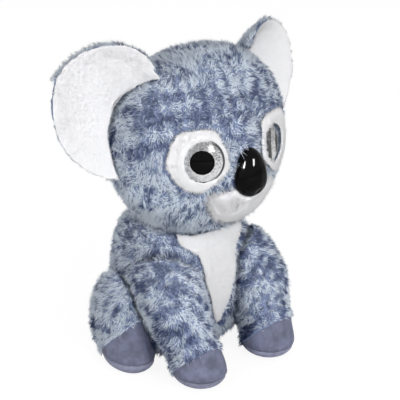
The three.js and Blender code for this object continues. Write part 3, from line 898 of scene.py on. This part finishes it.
def strands(name, points, normals, coat, comb, tone, growth):
    """Fur on these places: bent or straight strands, drawn together in clumps."""
    rng = np.random.default_rng(coat.seed + 1)
    count = len(points)
    groups = max(int(count / (coat.density * (coat.clump * MM_PER_METRE) ** 2)), 1)
    centres = points[rng.choice(count, groups, replace=False)]
    clump = nearest_index(points, centres)
    wish = comb(points) + coat.scatter * rng.normal(size=(groups, 3))[clump]
    wish += 0.5 * coat.scatter * rng.normal(size=(count, 3))
    flow = unit(wish - normals * (wish * normals).sum(1, keepdims=True))
    taller, flatter = growth(points)
    lengths = coat.length * taller * rng.uniform(*LENGTH_RANGE, count)
    lengths = lengths * rng.uniform(*CLUMP_LENGTH_RANGE, groups)[clump]
    leans = coat.lean * flatter + CLUMP_LEAN_SPREAD * rng.normal(size=groups)[clump]
    leans = math.pi / 2 * np.clip(leans, 0, 0.95)
    low, high = (leans * 0.55)[:, None], np.minimum(leans * 1.25, 1.5)[:, None]
    first = normals * np.cos(low) + flow * np.sin(low)
    second = normals * np.cos(high) + flow * np.sin(high)
    drawn = (centres[clump] - points) * coat.gather
    corners, faces = strand_template(coat.bends)
    along = corners[:, 2][None, :, None]
    side = unit(np.cross(normals, flow))[:, None]
    up = np.cross(unit(first + second)[:, None], side)
    bend = first[:, None] * (along - along**2 / 2) + second[:, None] * along**2 / 2
    spine = bend * lengths[:, None, None] + points[:, None] + drawn[:, None] * along
    spread = side * corners[:, 0][None, :, None] + up * corners[:, 1][None, :, None]
    places = spine + spread * coat.width
    places -= (normals * coat.width)[:, None] * (1 - along)
    places[:, :, 2] = np.maximum(places[:, :, 2], STRAND_FLOOR_GAP)
    lit = unit(spread + second[:, None] * along) * (1 - coat.softness)
    lit = unit(lit + normals[:, None] * coat.softness)
    tones = tone(points) + coat.lift + CLUMP_TONE_SPREAD * rng.normal(size=groups)[clump]
    tones = tones + TONE_SPREAD * rng.normal(size=count)
    maps = np.empty((count, len(corners), 2))
    maps[:, :, 0] = np.clip(tones, 0.02, 0.98)[:, None] + 0.004 * corners[:, 0]
    maps[:, :, 1] = 0.03 + 0.94 * corners[:, 2]
    return strand_mesh(name, places, faces, lit, maps)


def strand_mesh(name, places, faces, lit, maps):
    """One mesh of many copies of the template, with their own shading directions and map."""
    count, size = places.shape[:2]
    corners = (faces[None] + size * np.arange(count)[:, None, None]).reshape(-1).astype(np.int32)
    mesh = bpy.data.meshes.new(name)
    mesh.vertices.add(count * size)
    mesh.vertices.foreach_set("co", places.reshape(-1).astype(np.float32))
    mesh.loops.add(len(corners))
    mesh.loops.foreach_set("vertex_index", corners)
    mesh.polygons.add(len(corners) // 3)
    mesh.polygons.foreach_set("loop_start", np.arange(0, len(corners), 3, dtype=np.int32))
    mesh.update(calc_edges=True)
    mesh.shade_smooth()
    layer = mesh.uv_layers.new(name=STRAND_UV)
    layer.data.foreach_set("uv", maps.reshape(-1, 2)[corners].reshape(-1).astype(np.float32))
    mesh.normals_split_custom_set_from_vertices(lit.reshape(-1, 3).tolist())
    return linked(bpy.data.objects.new(name, mesh))


def mottle(seed, level, size, contrast=1.0):
    """Light and dark blotches of the fur, from two sizes of lump."""

    def tone(points):
        lumps = 0.3 * ripple(points, size, seed) + 0.17 * ripple(points, 2.3 * size, seed + 1)
        return level + contrast * lumps

    return tone


def even(points):
    """The same tone everywhere."""
    return np.full(len(points), 0.5)


def alike(points):
    """No change of length or of lean from place to place."""
    return 1.0, 1.0


def swirled(base, size, seed, amount):
    """A direction to comb towards, base(points), with whorls of that size."""

    def comb(points):
        return base(points) + amount * np.column_stack([ripple(points, size, seed + k) for k in range(3)])

    return comb


def downward(points):
    """Down, and a little backwards."""
    return np.tile([0.0, 0.25, -1.0], (len(points), 1))


def outward_from(centre, sag=0.25, rise=1.0):
    """Away from a place, a little downwards by sag, and more up and down with a greater rise."""

    def base(points):
        away = (points - np.array(centre)) * (1.0, 1.0, rise)
        return unit(away) - sag * np.array(UP)

    return base


def around_eye(centre, radius):
    """Towards the eye within that radius, and away from it outside."""

    def base(points):
        away = points - np.array(centre)
        distance = np.linalg.norm(away, axis=1, keepdims=True)
        turn = np.clip((distance - radius) / EYE_PARTING_WIDTH, -1, 1)
        return unit(away) * turn - 0.1 * np.array(UP)

    return base


def fur_coats(seed, length=1.0, density=1.0, scatter=0.8, width=1.0):
    """The mottled fur: bent strands over straight ones."""
    fur = bpy.context.scene.koala_fur
    straight = Coat(
        fur.fur_length * 0.85 * length, fur.fur_width * width, fur.straight_density * density,
        fur.lean, fur.gather, fur.clump, fur.seed + seed, fur.fur_softness, scatter, lift=-0.06,
    )
    curled = replace(
        straight, length=fur.fur_length * length, density=fur.curled_density * density, bends=True, lift=0.06
    )
    return {"undercoat": replace(straight, seed=straight.seed + 100), "fur": curled}


def pile_coats(seed, length, lean, rough):
    """The white pile: straight strands in small clumps, less even with a greater rough."""
    fur = bpy.context.scene.koala_fur
    coat = Coat(
        fur.pile_length * length, fur.pile_width, fur.pile_density, lean, 0.2, fur.clump * 0.5,
        fur.seed + seed, 1 - rough * (1 - fur.pile_softness), 0.3 * rough,
    )
    return {"pile": coat}


def cover_with(coats, skin, body, material, comb, tone, keep, growth=alike):
    """Grows coats of fur on a skin, each in as many pieces as its triangles need."""
    for title, coat in coats.items():
        rng = np.random.default_rng(coat.seed)
        points, normals = random_places(skin, coat.density, rng)
        kept = keep(points, normals)
        points, normals = points[kept], normals[kept]
        each = BENT_STRAND_TRIANGLES if coat.bends else STRAIGHT_STRAND_TRIANGLES
        parts = math.ceil(len(points) * each / PIECE_TRIANGLES)
        for number, part in enumerate(np.array_split(np.argsort(points[:, 0]), parts)):
            name = f"{skin.name}_{title}" + (f"_{number + 1}" if parts > 1 else "")
            piece = strands(name, points[part], normals[part], coat, comb, tone, growth)
            settle_piece(piece, body, material)


# Operators, one for each part of the toy


def seat_of(node):
    """Centre and outward axis of a round flat solid on the face."""
    points = np.array([vert.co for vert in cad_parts[node].data.vertices])
    middle = points.mean(0)
    axis = Vector(np.linalg.svd(points - middle)[2][2])
    return Vector(middle), -axis if axis.y > 0 else axis


def eye_shift(face, seat):
    """How far an eye lies from its seat."""
    return Vector((math.copysign(face.eye_spread, seat.x), face.eye_sink, face.eye_lift))


def close_round_eye(obj, seat, shift, radius):
    """Moves the inner edge of an eye's patch along with the eye and up to its rim."""
    bm = bmesh_of(obj)
    for vert in bm.verts:
        away = vert.co - seat
        share = min(max(1.5 - (away.length - radius) / EYE_EDGE_WIDTH, 0), 1)
        vert.co += (Vector((shift.x, 0, shift.z)) - 0.06 * away) * share
    write_back(bm, obj)


def neck_ball():
    """Centre and radius of the neck."""
    low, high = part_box("neck_wad")
    return (low + high) / 2, (high.x - low.x) / 2


def beyond_neck(points, gap):
    """Which places lie further than that gap from the neck."""
    centre, radius = neck_ball()
    return np.linalg.norm(points - np.array(centre), axis=1) > radius + gap


class KOALA_OT_head(bpy.types.Operator):
    """Make the head's skin and its mottled fur"""

    bl_idname = "koala.head"
    bl_label = "Head"

    def execute(self, context):
        skin_sizes = context.scene.koala_skin
        skin = soft_skin("head", HEAD_SOLIDS, skin_sizes.coarse, rounds=8, inset=skin_sizes.inset)
        stuffed(skin, 0.4 * skin_sizes.cap)
        nose_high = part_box("nose")[1]
        bridge_place = Vector((0, nose_high.y, nose_high.z + BRIDGE_RISE))
        dent(skin, bridge_place, FRONT, -skin_sizes.bridge, BRIDGE_REACH)
        for side in SIDES:
            dent(skin, *seat_of(f"eye_glitter_disc_{side}"), SOCKET_DEPTH, SOCKET_REACH)
        settle_piece(skin, "head", blue_backing(), HEAD_SOLIDS)
        floor, crown = (corner.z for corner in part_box("head_cover"))
        brow_height = 0.6 * nose_high.z + 0.4 * crown

        def keep(points, normals):
            bare = near(points, PATCH_GAP, *PATCHES) | near(points, PLASTIC_GAP, "nose", *EYE_DOMES)
            return ~bare & beyond_neck(points, HEAD_NECK_GAP)

        def base(points):
            """Down and outwards on the cheeks, up and back over the crown."""
            top = np.clip((points[:, 2] - nose_high.z) / (crown - nose_high.z), 0, 1)
            sideways = 0.7 * points[:, 0] / CHEEK_HALF_WIDTH
            return np.column_stack([sideways, 0.2 + 0.8 * top, -0.8 + top])

        def growth(points):
            """Longer, more upright fur on the bridge between the eyes and under the chin."""
            across = (np.abs(points[:, 0]) - BRIDGE_SPREAD) / BRIDGE_HALF_WIDTH
            over = (points[:, 2] - nose_high.z - BRIDGE_RISE) / BRIDGE_REACH
            bridge = (points[:, 1] < nose_high.y) * np.exp(-(across**2) - over**2)
            chin = np.exp(-(((points[:, 2] - floor) / CHIN_FADE) ** 2))
            return 1 + 0.7 * bridge + 0.6 * chin, 1 - 0.5 * bridge - 0.3 * chin

        def tone(points):
            """Darker over the eyes, lighter on the cheeks and the crown."""
            band = np.exp(-(((points[:, 2] - brow_height) / BROW_FADE) ** 2))
            brow = band * (points[:, 1] < nose_high.y / 2)
            cheek = np.clip((nose_high.z - points[:, 2]) / CHEEK_FADE, 0, 1)
            top = np.clip((points[:, 2] - crown) / CROWN_FADE + 1.3, 0, 1)
            blotches = mottle(seed=3, level=0.66, size=HEAD_BLOTCH)(points)
            return blotches - 0.36 * brow + 0.17 * cheek + 0.14 * top

        comb = swirled(base, HEAD_WHORL, seed=31, amount=0.7)
        cover_with(
            fur_coats(seed=1), skin, "head", mottled_fur(), comb, tone, keep, growth
        )
        return {"FINISHED"}


class KOALA_OT_face(bpy.types.Operator):
    """Make the white patches of the eyes and muzzle"""

    bl_idname = "koala.face"
    bl_label = "Face patches"

    def execute(self, context):
        skin_sizes, face = context.scene.koala_skin, context.scene.koala_face
        centre = sum(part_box("head_cover"), Vector()) / 2
        for name in PATCHES:
            band = name == "muzzle_band"
            inset = -BAND_RISE if band else CLOTH_INSET
            skin = soft_skin(name + "_cloth", (name,), 0.8 * skin_sizes.fine, rounds=5, inset=inset)
            # No eye is beside the muzzle's band, so the head's centre takes its place.
            eye = centre if band else seat_of(name.replace("patch", "glitter_disc"))[0]
            if band:
                turn_up_ends(skin, face.muzzle_lift)
                base = outward_from(sum(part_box(name), Vector()) / 2, sag=0.1, rise=3.0)
            else:
                close_round_eye(skin, eye, eye_shift(face, eye), face.eye_radius - face.ring_width)
                base = around_eye(eye, EYE_PARTING)
            settle_piece(skin, "head", white_backing(), (name,))

            def keep(points, normals):
                out = unit(points - np.array(centre))
                return ((out * normals).sum(1) > -0.1) & ~near(points, PILE_GAP, "nose", *EYE_DOMES)

            def growth(points):
                """Upright pile beside the eye, and long pile at the patch's outer edge."""
                beside = np.linalg.norm(points - np.array(eye), axis=1) < EYE_SURROUND
                edge = near(points, PATCH_EDGE - inset, "head_cover") & ~beside
                return 1 + 1.2 * edge, 1 - 0.7 * beside

            comb = swirled(base, FACE_WHORL, seed=62, amount=0.2)
            coats = pile_coats(seed=5, length=1.0 if band else 0.9, lean=0.55, rough=0.6)
            cover_with(coats, skin, "head", white_pile(), comb, even, keep, growth)
        return {"FINISHED"}


class KOALA_OT_eyes(bpy.types.Operator):
    """Make the glitter eyes"""

    bl_idname = "koala.eyes"
    bl_label = "Eyes"

    def execute(self, context):
        face = context.scene.koala_face
        for side in SIDES:
            centre, axis = seat_of(f"eye_glitter_disc_{side}")
            axis = Matrix.Rotation(math.copysign(face.eye_turn, centre.x), 3, "Z") @ axis
            centre += eye_shift(face, centre)
            bm = bmesh.new()
            curve = (face.eye_radius**2 + face.crown**2) / (2 * face.crown)
            bmesh.ops.create_uvsphere(bm, u_segments=64, v_segments=96, radius=curve)
            bmesh.ops.translate(bm, vec=(face.crown - curve) * UP, verts=bm.verts)
            rim = split_along(bm, (0, 0, 0), -UP, clear=True)
            skirt = bmesh.ops.extrude_edge_only(bm, edges=rim)["geom"]
            bmesh.ops.translate(bm, vec=-EYE_SKIRT * UP, verts=verts_in(skirt))
            ends = [edge for edge in edges_in(skirt) if edge.is_boundary]
            bmesh.ops.holes_fill(bm, edges=ends, sides=0)
            bmesh.ops.recalc_face_normals(bm, faces=bm.faces)
            turn = axis.to_track_quat("Z", "Y").to_matrix().to_4x4()
            bmesh.ops.transform(bm, matrix=Matrix.Translation(centre) @ turn, verts=bm.verts)
            eye = object_from(bm, f"eye_{side}")
            eye.data.shade_smooth()
            material = material_of(f"glitter_eye_{side}", eye_finish(centre, axis, face))
            nodes = (f"eye_dome_{side}", f"eye_glitter_disc_{side}")
            settle_piece(eye, "head", material, nodes)
        return {"FINISHED"}


class KOALA_OT_nose(bpy.types.Operator):
    """Make the glossy nose, with a small pit at its foot"""

    bl_idname = "koala.nose"
    bl_label = "Nose"

    def execute(self, context):
        spacing = context.scene.koala_face.nose_detail
        nose = soft_skin("nose_shell", ("nose",), spacing, rounds=14, inset=0)
        low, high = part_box("nose")
        pit = Vector((0, low.y, low.z + PIT_HEIGHT * (high.z - low.z)))
        bm = bmesh_of(nose)
        for vert in bm.verts:
            share = max((vert.co.z - low.z) / (high.z - low.z), 0)
            vert.co.x *= 1 - NOSE_TAPER * share**2
            away = (vert.co - pit).xz.length / PIT_RADIUS
            if vert.normal.y < 0:
                vert.co -= vert.normal * PIT_DEPTH * math.exp(-(away**4))
        write_back(bm, nose)
        settle_piece(nose, "head", material_of("nose_gloss", fill_gloss), ("nose",))
        return {"FINISHED"}


class KOALA_OT_ears(bpy.types.Operator):
    """Make both ears, white in front and mottled behind"""

    bl_idname = "koala.ears"
    bl_label = "Ears"

    def execute(self, context):
        skin_sizes = context.scene.koala_skin
        for side in SIDES:
            body, front_node, back_node = f"ear_{side}", f"ear_front_{side}", f"ear_back_{side}"
            low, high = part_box(back_node)
            middle = (low + high) / 2
            root = Vector((EAR_ROOT_PLACE * middle.x, middle.y, middle.z - EAR_ROOT_DROP))
            back = soft_skin(f"{body}_rear", (back_node,), skin_sizes.fine, rounds=9, inset=CLOTH_INSET)
            front = soft_skin(f"{body}_lining", (front_node,), skin_sizes.fine, rounds=9, inset=CLOTH_INSET)
            stuffed(back, 0.4 * skin_sizes.cap)
            subdivided(front)
            _, facing = seat_of(front_node)
            hollow = middle + Vector((-HOLLOW_SHIFT * middle.x, 0, HOLLOW_RISE))
            dent(front, hollow, facing, skin_sizes.ear_hollow, HOLLOW_REACH)
            settle_piece(back, body, blue_backing(), (back_node,))
            settle_piece(front, body, white_backing(), (front_node,))

            def keep_rear(points, normals):
                return ~near(points, LINING_GAP, front_node, "head_cover")

            def keep_lining(points, normals):
                return ~near(points, LINING_GAP, back_node, "head_cover")

            def rear_growth(points):
                """Longer fur at the top and the head, and short, flat fur beside the rest of the lining."""
                upper = points[:, 2] > 0.5 * (middle.z + high.z)
                longer = upper | near(points, HEAD_SIDE_REACH, "head_cover")
                beside = near(points, RIM_REACH, front_node) & ~longer
                return 1 + 0.8 * longer - 0.5 * beside, 1 + 0.3 * beside

            coats = fur_coats(seed=9, length=0.5, density=2.2, scatter=0.3, width=0.75)
            comb = swirled(outward_from(root), EAR_WHORL, seed=71, amount=0.3)
            tone = mottle(seed=13, level=0.85, size=EAR_BLOTCH)
            cover_with(
                coats, back, body, mottled_fur(), comb, tone, keep_rear, rear_growth
            )

            coats = pile_coats(seed=10, length=0.6, lean=0.6, rough=0.7)
            comb = swirled(outward_from(middle), LINING_WHORL, seed=72, amount=0.1)
            cover_with(coats, front, body, white_pile(), comb, even, keep_lining)
        return {"FINISHED"}


class KOALA_OT_torso(bpy.types.Operator):
    """Make the torso, the neck and the chest's white bib"""

    bl_idname = "koala.torso"
    bl_label = "Torso and bib"

    def execute(self, context):
        skin_sizes = context.scene.koala_skin
        torso = soft_skin("torso", TORSO_SOLIDS, skin_sizes.coarse, rounds=8, inset=skin_sizes.inset)
        stuffed(torso, 0.4 * skin_sizes.cap, [((0, 0, 0), UP, TORSO_SEAM)])
        settle_piece(torso, "torso", blue_backing(), TORSO_SOLIDS)

        def keep(points, normals):
            free = ~near(points, BIB_GAP, "chest_bib") & (points[:, 2] > TORSO_FLOOR_GAP)
            return free & beyond_neck(points, TORSO_NECK_GAP)

        def growth(points):
            """Longer, flatter fur over the tops of the arms, and shorter fur beside the bib."""
            over = near(points, ARM_TOP_REACH, "arm_cover_left", "arm_cover_right")
            over &= ~near(points, BIB_REACH, "chest_bib")
            beside = near(points, BIB_EDGE_REACH, "chest_bib")
            return 1 + 0.8 * over - 0.4 * beside, 1 + 0.2 * over

        comb = swirled(downward, BODY_WHORL, seed=41, amount=0.5)
        tone = mottle(seed=4, level=0.62, size=BODY_BLOTCH, contrast=1.2)
        cover_with(
            fur_coats(seed=2), torso, "torso", mottled_fur(), comb, tone, keep, growth
        )

        bib = soft_skin("bib", ("chest_bib",), 0.9 * skin_sizes.fine, rounds=3, inset=CLOTH_INSET)
        settle_piece(bib, "torso", white_backing(), ("chest_bib",))

        def keep_front(points, normals):
            return normals[:, 1] < -0.2

        comb = swirled(downward, BODY_WHORL, seed=51, amount=0.25)
        coats = pile_coats(seed=6, length=0.9, lean=0.6, rough=0.6)
        cover_with(coats, bib, "torso", white_pile(), comb, even, keep_front)

        centre, radius = neck_ball()
        bm = bmesh.new()
        place = Matrix.Translation(centre)
        bmesh.ops.create_icosphere(bm, subdivisions=4, radius=0.98 * radius, matrix=place)
        neck = object_from(bm, "neck")
        neck.data.shade_smooth()
        settle_piece(neck, "neck", blue_backing(), ("neck_wad",))
        return {"FINISHED"}


def stitches(name, skin, height, front_of, body):
    """A row of stitches round a skin at that height, in front of the hem."""
    bm = bmesh_of(skin)
    edges = split_along(bm, (0, 0, height), UP)
    loop = np.array([(edge.verts[0].co + edge.verts[1].co) / 2 for edge in edges])
    bm.free()
    centre = loop.mean(0)
    turns = np.arctan2(loop[:, 1] - centre[1], loop[:, 0] - centre[0])
    loop = loop[np.argsort(turns)]
    steps = np.linalg.norm(np.roll(loop, -1, axis=0) - loop, axis=1)
    rng = np.random.default_rng(seed=5)
    bm = bmesh.new()
    covered = 0.0
    for number, step in enumerate(steps):
        covered += step
        if covered < STITCH_SPACING:
            continue
        covered = 0.0
        here, there = Vector(loop[number]), Vector(loop[(number + 1) % len(loop)])
        if not front_of(here):
            continue
        turn = (there - here).to_track_quat("X", "Z").to_matrix().to_4x4()
        turn = turn @ Matrix.Rotation(rng.uniform(-STITCH_TURN, STITCH_TURN), 4, "Y")
        size = Matrix.Diagonal((*STITCH_SIZE, 1))
        place = Matrix.Translation(here + Vector((0, 0, rng.uniform(-STITCH_SCATTER, STITCH_SCATTER))))
        bmesh.ops.create_icosphere(bm, subdivisions=1, radius=1, matrix=place @ turn @ size)
    row = object_from(bm, name)
    row.data.shade_smooth()
    settle_piece(row, body, material_of("seam_thread", fill_thread))


def limb(context, kind, foot, side, seed, level):
    """A furry limb with a velour end: its skin is cut at the hem and at the sole's seam."""
    furry_nodes = (f"{kind}_cover_{side}", f"{kind}_stuffing_{side}")
    upper_node, sole_node = f"{foot}_upper_{side}", f"{foot}_sole_{side}"
    skin_sizes = context.scene.koala_skin
    body = f"{kind}_{side}"
    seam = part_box(sole_node)[1].z + skin_sizes.seam_rise
    low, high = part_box(upper_node)
    hem, outward = HEMS[foot], Vector((0, 1, 1)).normalized()
    nodes = (*furry_nodes, upper_node, sole_node)
    skin = soft_skin(f"{body}_whole", nodes, 0.8 * skin_sizes.coarse, rounds=6, inset=LIMB_INSET)
    stuffed(skin, skin_sizes.cap, [(hem, outward, HEM_SEAM), ((0, 0, seam), UP, SOLE_SEAM)])
    draw_in(skin, hem, outward, skin_sizes.sleeve_inset, HEM_SLOPE)
    groove(skin, (0, 0, seam), UP, SOLE_SEAM, SOLE_GROOVE_WIDTH)
    if foot == "foot":
        toe = (low.x + high.x) / 2 * 0.9

        def on_toes(place):
            return place.y < (low.y + high.y) / 2 and place.z > seam

        groove(skin, (toe, 0, 0), (1, 0, 0), TOE_GROOVE_DEPTH, TOE_GROOVE_WIDTH, on_toes)
    sleeve = cut_part(skin, body, [(hem, -outward)])
    upper = cut_part(skin, f"{foot}_{side}", [(hem, outward), ((0, 0, seam), -UP)])
    sole = cut_part(skin, f"{foot}_sole_velour_{side}", [(hem, outward), ((0, 0, seam), UP)])

    def before_hem(place):
        return (place - Vector(hem)).dot(outward) < -STITCH_HEM_GAP

    stitches(f"{foot}_stitches_{side}", skin, seam + STITCH_RISE, before_hem, body)
    bpy.data.objects.remove(skin)
    paw_velour = material_of("paw_velour", velour("velour"))
    sole_velour = material_of("sole_velour", velour("sole"))
    settle_piece(sleeve, body, blue_backing(), furry_nodes)
    settle_piece(upper, body, paw_velour, (upper_node,))
    settle_piece(sole, body, sole_velour, (sole_node,))

    def behind_hem(points):
        return (points - np.array(hem)) @ np.array(outward)

    def keep(points, normals):
        return (behind_hem(points) > HEM_GAP) & (points[:, 2] > LIMB_FLOOR_GAP)

    def growth(points):
        """Shorter fur towards the hem."""
        return np.clip(0.75 + behind_hem(points) / HEM_FADE, 0.75, 0.95), 1.0

    comb = swirled(downward, BODY_WHORL, seed, amount=0.5)
    tone = mottle(seed, level, BODY_BLOTCH, contrast=1.2)
    cover_with(fur_coats(seed), sleeve, body, mottled_fur(), comb, tone, keep, growth)


class KOALA_OT_arms(bpy.types.Operator):
    """Make both arms with their paws"""

    bl_idname = "koala.arms"
    bl_label = "Arms and paws"

    def execute(self, context):
        for number, side in enumerate(SIDES):
            limb(context, "arm", "paw", side, seed=20 + 3 * number, level=0.52)
        return {"FINISHED"}


class KOALA_OT_legs(bpy.types.Operator):
    """Make both legs with their feet"""

    bl_idname = "koala.legs"
    bl_label = "Legs and feet"

    def execute(self, context):
        for number, side in enumerate(SIDES):
            limb(context, "leg", "foot", side, seed=27 + 3 * number, level=0.88)
        return {"FINISHED"}


class KOALA_OT_washers(bpy.types.Operator):
    """Give the lock washers inside the head their plastic"""

    bl_idname = "koala.washers"
    bl_label = "Washers"

    def execute(self, context):
        for node in ("nose_washer", "eye_washer_left", "eye_washer_right"):
            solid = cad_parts[node]
            solid.data.materials.clear()
            solid.data.materials.append(material_of("lock_washer", fill_washer))
        return {"FINISHED"}


# Stage: lengths in metres, shades and strengths

SENSOR_WIDTH_MM = 36.0
NEAREST_SEEN = 0.01
FLOOR_HALF_WIDTH = 6.0
FLOOR_SHADE = 0.9
FLOOR_GLOW = 1.1
FLOOR_GLOW_SHARE = 0.82
GLINT_NEARNESS = 0.9


def camera_axes(stage):
    """Right, up and back of the camera."""
    turn, rise = stage.azimuth, stage.elevation
    right = Vector((math.cos(turn), math.sin(turn), 0))
    back = Vector((math.sin(turn) * math.cos(rise), -math.cos(turn) * math.cos(rise), math.sin(rise)))
    return right, back.cross(right), back


def lamp(name, aim, direction, size, power, glossy):
    """A square lamp that looks at aim from that direction. It is seen in reflections alone, or not there."""
    data = bpy.data.lights.new(name, "AREA")
    data.size = size
    data.energy = power
    obj = linked(bpy.data.objects.new(name, data))
    obj.location = aim + direction
    obj.rotation_mode = "QUATERNION"
    obj.rotation_quaternion = (-direction).to_track_quat("-Z", "Y")
    obj.visible_glossy = glossy
    obj.visible_diffuse = not glossy


class KOALA_OT_stage(bpy.types.Operator):
    """Make the floor, the lamps and the camera"""

    bl_idname = "koala.stage"
    bl_label = "Stage"

    def execute(self, context):
        scene = context.scene
        stage = scene.koala_stage
        bm = bmesh.new()
        bmesh.ops.create_grid(bm, x_segments=2, y_segments=2, size=FLOOR_HALF_WIDTH)
        floor = object_from(bm, "floor")
        material = bpy.data.materials.new("floor")
        shader = Shader(material)
        matte = shader.make("ShaderNodeBsdfDiffuse", inputs={"Color": opaque(3 * (FLOOR_SHADE,))})
        glow = shader.make("ShaderNodeEmission", inputs={"Color": WHITE, "Strength": FLOOR_GLOW})
        camera_ray = shader.make("ShaderNodeLightPath", output="Is Camera Ray")
        share = camera_ray * FLOOR_GLOW_SHARE
        shader.finish(shader.make("ShaderNodeMixShader", inputs=[share, matte, glow]))
        floor.data.materials.append(material)

        scene.world = bpy.data.worlds.new("studio")
        shader = Shader(scene.world)
        soft = shader.make("ShaderNodeBackground", inputs={"Color": WHITE, "Strength": stage.surround})
        white = shader.make("ShaderNodeBackground", inputs={"Color": WHITE, "Strength": 1.0})
        kinds = ("Camera", "Glossy", "Transmission")
        rays = [shader.make("ShaderNodeLightPath", output=f"Is {kind} Ray") for kind in kinds]
        clamped_sum = {"operation": "ADD", "use_clamp": True}
        seen = shader.make("ShaderNodeMath", clamped_sum, [rays[0] + rays[1], rays[2]])
        shader.finish(shader.make("ShaderNodeMixShader", inputs=[seen, soft, white]))

        aim = Vector(stage.aim)
        axes = camera_axes(stage)
        for name, size, power, parts in (
            ("key", stage.key_size, stage.key, stage.key_direction),
            ("fill", stage.fill_size, stage.fill, stage.fill_direction),
            ("front", stage.front_size, stage.front, stage.front_direction),
        ):
            direction = sum((axis * part for axis, part in zip(axes, parts)), Vector()) * stage.lamp_distance
            lamp(name, aim, direction, size, power, glossy=False)
            if name != "front":
                nearer, smaller = GLINT_NEARNESS * direction, GLINT_NEARNESS * size
                lamp(name + "_glint", aim, nearer, smaller, stage.glint * power, glossy=True)

        data = bpy.data.cameras.new("camera")
        data.lens = stage.focal
        data.sensor_width = SENSOR_WIDTH_MM
        data.clip_start = NEAREST_SEEN
        camera = linked(bpy.data.objects.new("camera", data))
        camera.location = aim + axes[2] * stage.distance
        camera.rotation_mode = "QUATERNION"
        camera.rotation_quaternion = (-axes[2]).to_track_quat("-Z", "Y")
        scene.camera = camera
        scene.view_settings.view_transform = "Standard"
        return {"FINISHED"}


SETTINGS = {
    "koala_fur": FurSettings, "koala_skin": SkinSettings, "koala_colours": ColourSettings,
    "koala_face": FaceSettings, "koala_stage": StageSettings,
}
OPERATORS = (
    KOALA_OT_head, KOALA_OT_face, KOALA_OT_eyes, KOALA_OT_nose, KOALA_OT_ears, KOALA_OT_torso,
    KOALA_OT_arms, KOALA_OT_legs, KOALA_OT_washers, KOALA_OT_stage,
)


class KOALA_PT_panel(bpy.types.Panel):
    """Lists the settings and the steps of the koala"""

    bl_idname = "KOALA_PT_panel"
    bl_label = "Plush koala"
    bl_space_type = "VIEW_3D"
    bl_region_type = "UI"
    bl_category = "Koala"

    def draw(self, context):
        for name in SETTINGS:
            box = self.layout.box()
            group = getattr(context.scene, name)
            for prop in group.bl_rna.properties.keys():
                if prop not in ("rna_type", "name"):
                    box.prop(group, prop)
        for operator in OPERATORS:
            self.layout.operator(operator.bl_idname)


def register():
    for kind in (*SETTINGS.values(), *OPERATORS, KOALA_PT_panel):
        bpy.utils.register_class(kind)
    for name, kind in SETTINGS.items():
        setattr(bpy.types.Scene, name, PointerProperty(type=kind))


def unregister():
    for name in SETTINGS:
        delattr(bpy.types.Scene, name)
    for kind in reversed((*SETTINGS.values(), *OPERATORS, KOALA_PT_panel)):
        bpy.utils.unregister_class(kind)


def main():
    register()
    for operator in OPERATORS:
        group, name = operator.bl_idname.split(".")
        getattr(getattr(bpy.ops, group), name)()


if __name__ == "__main__":
    main()
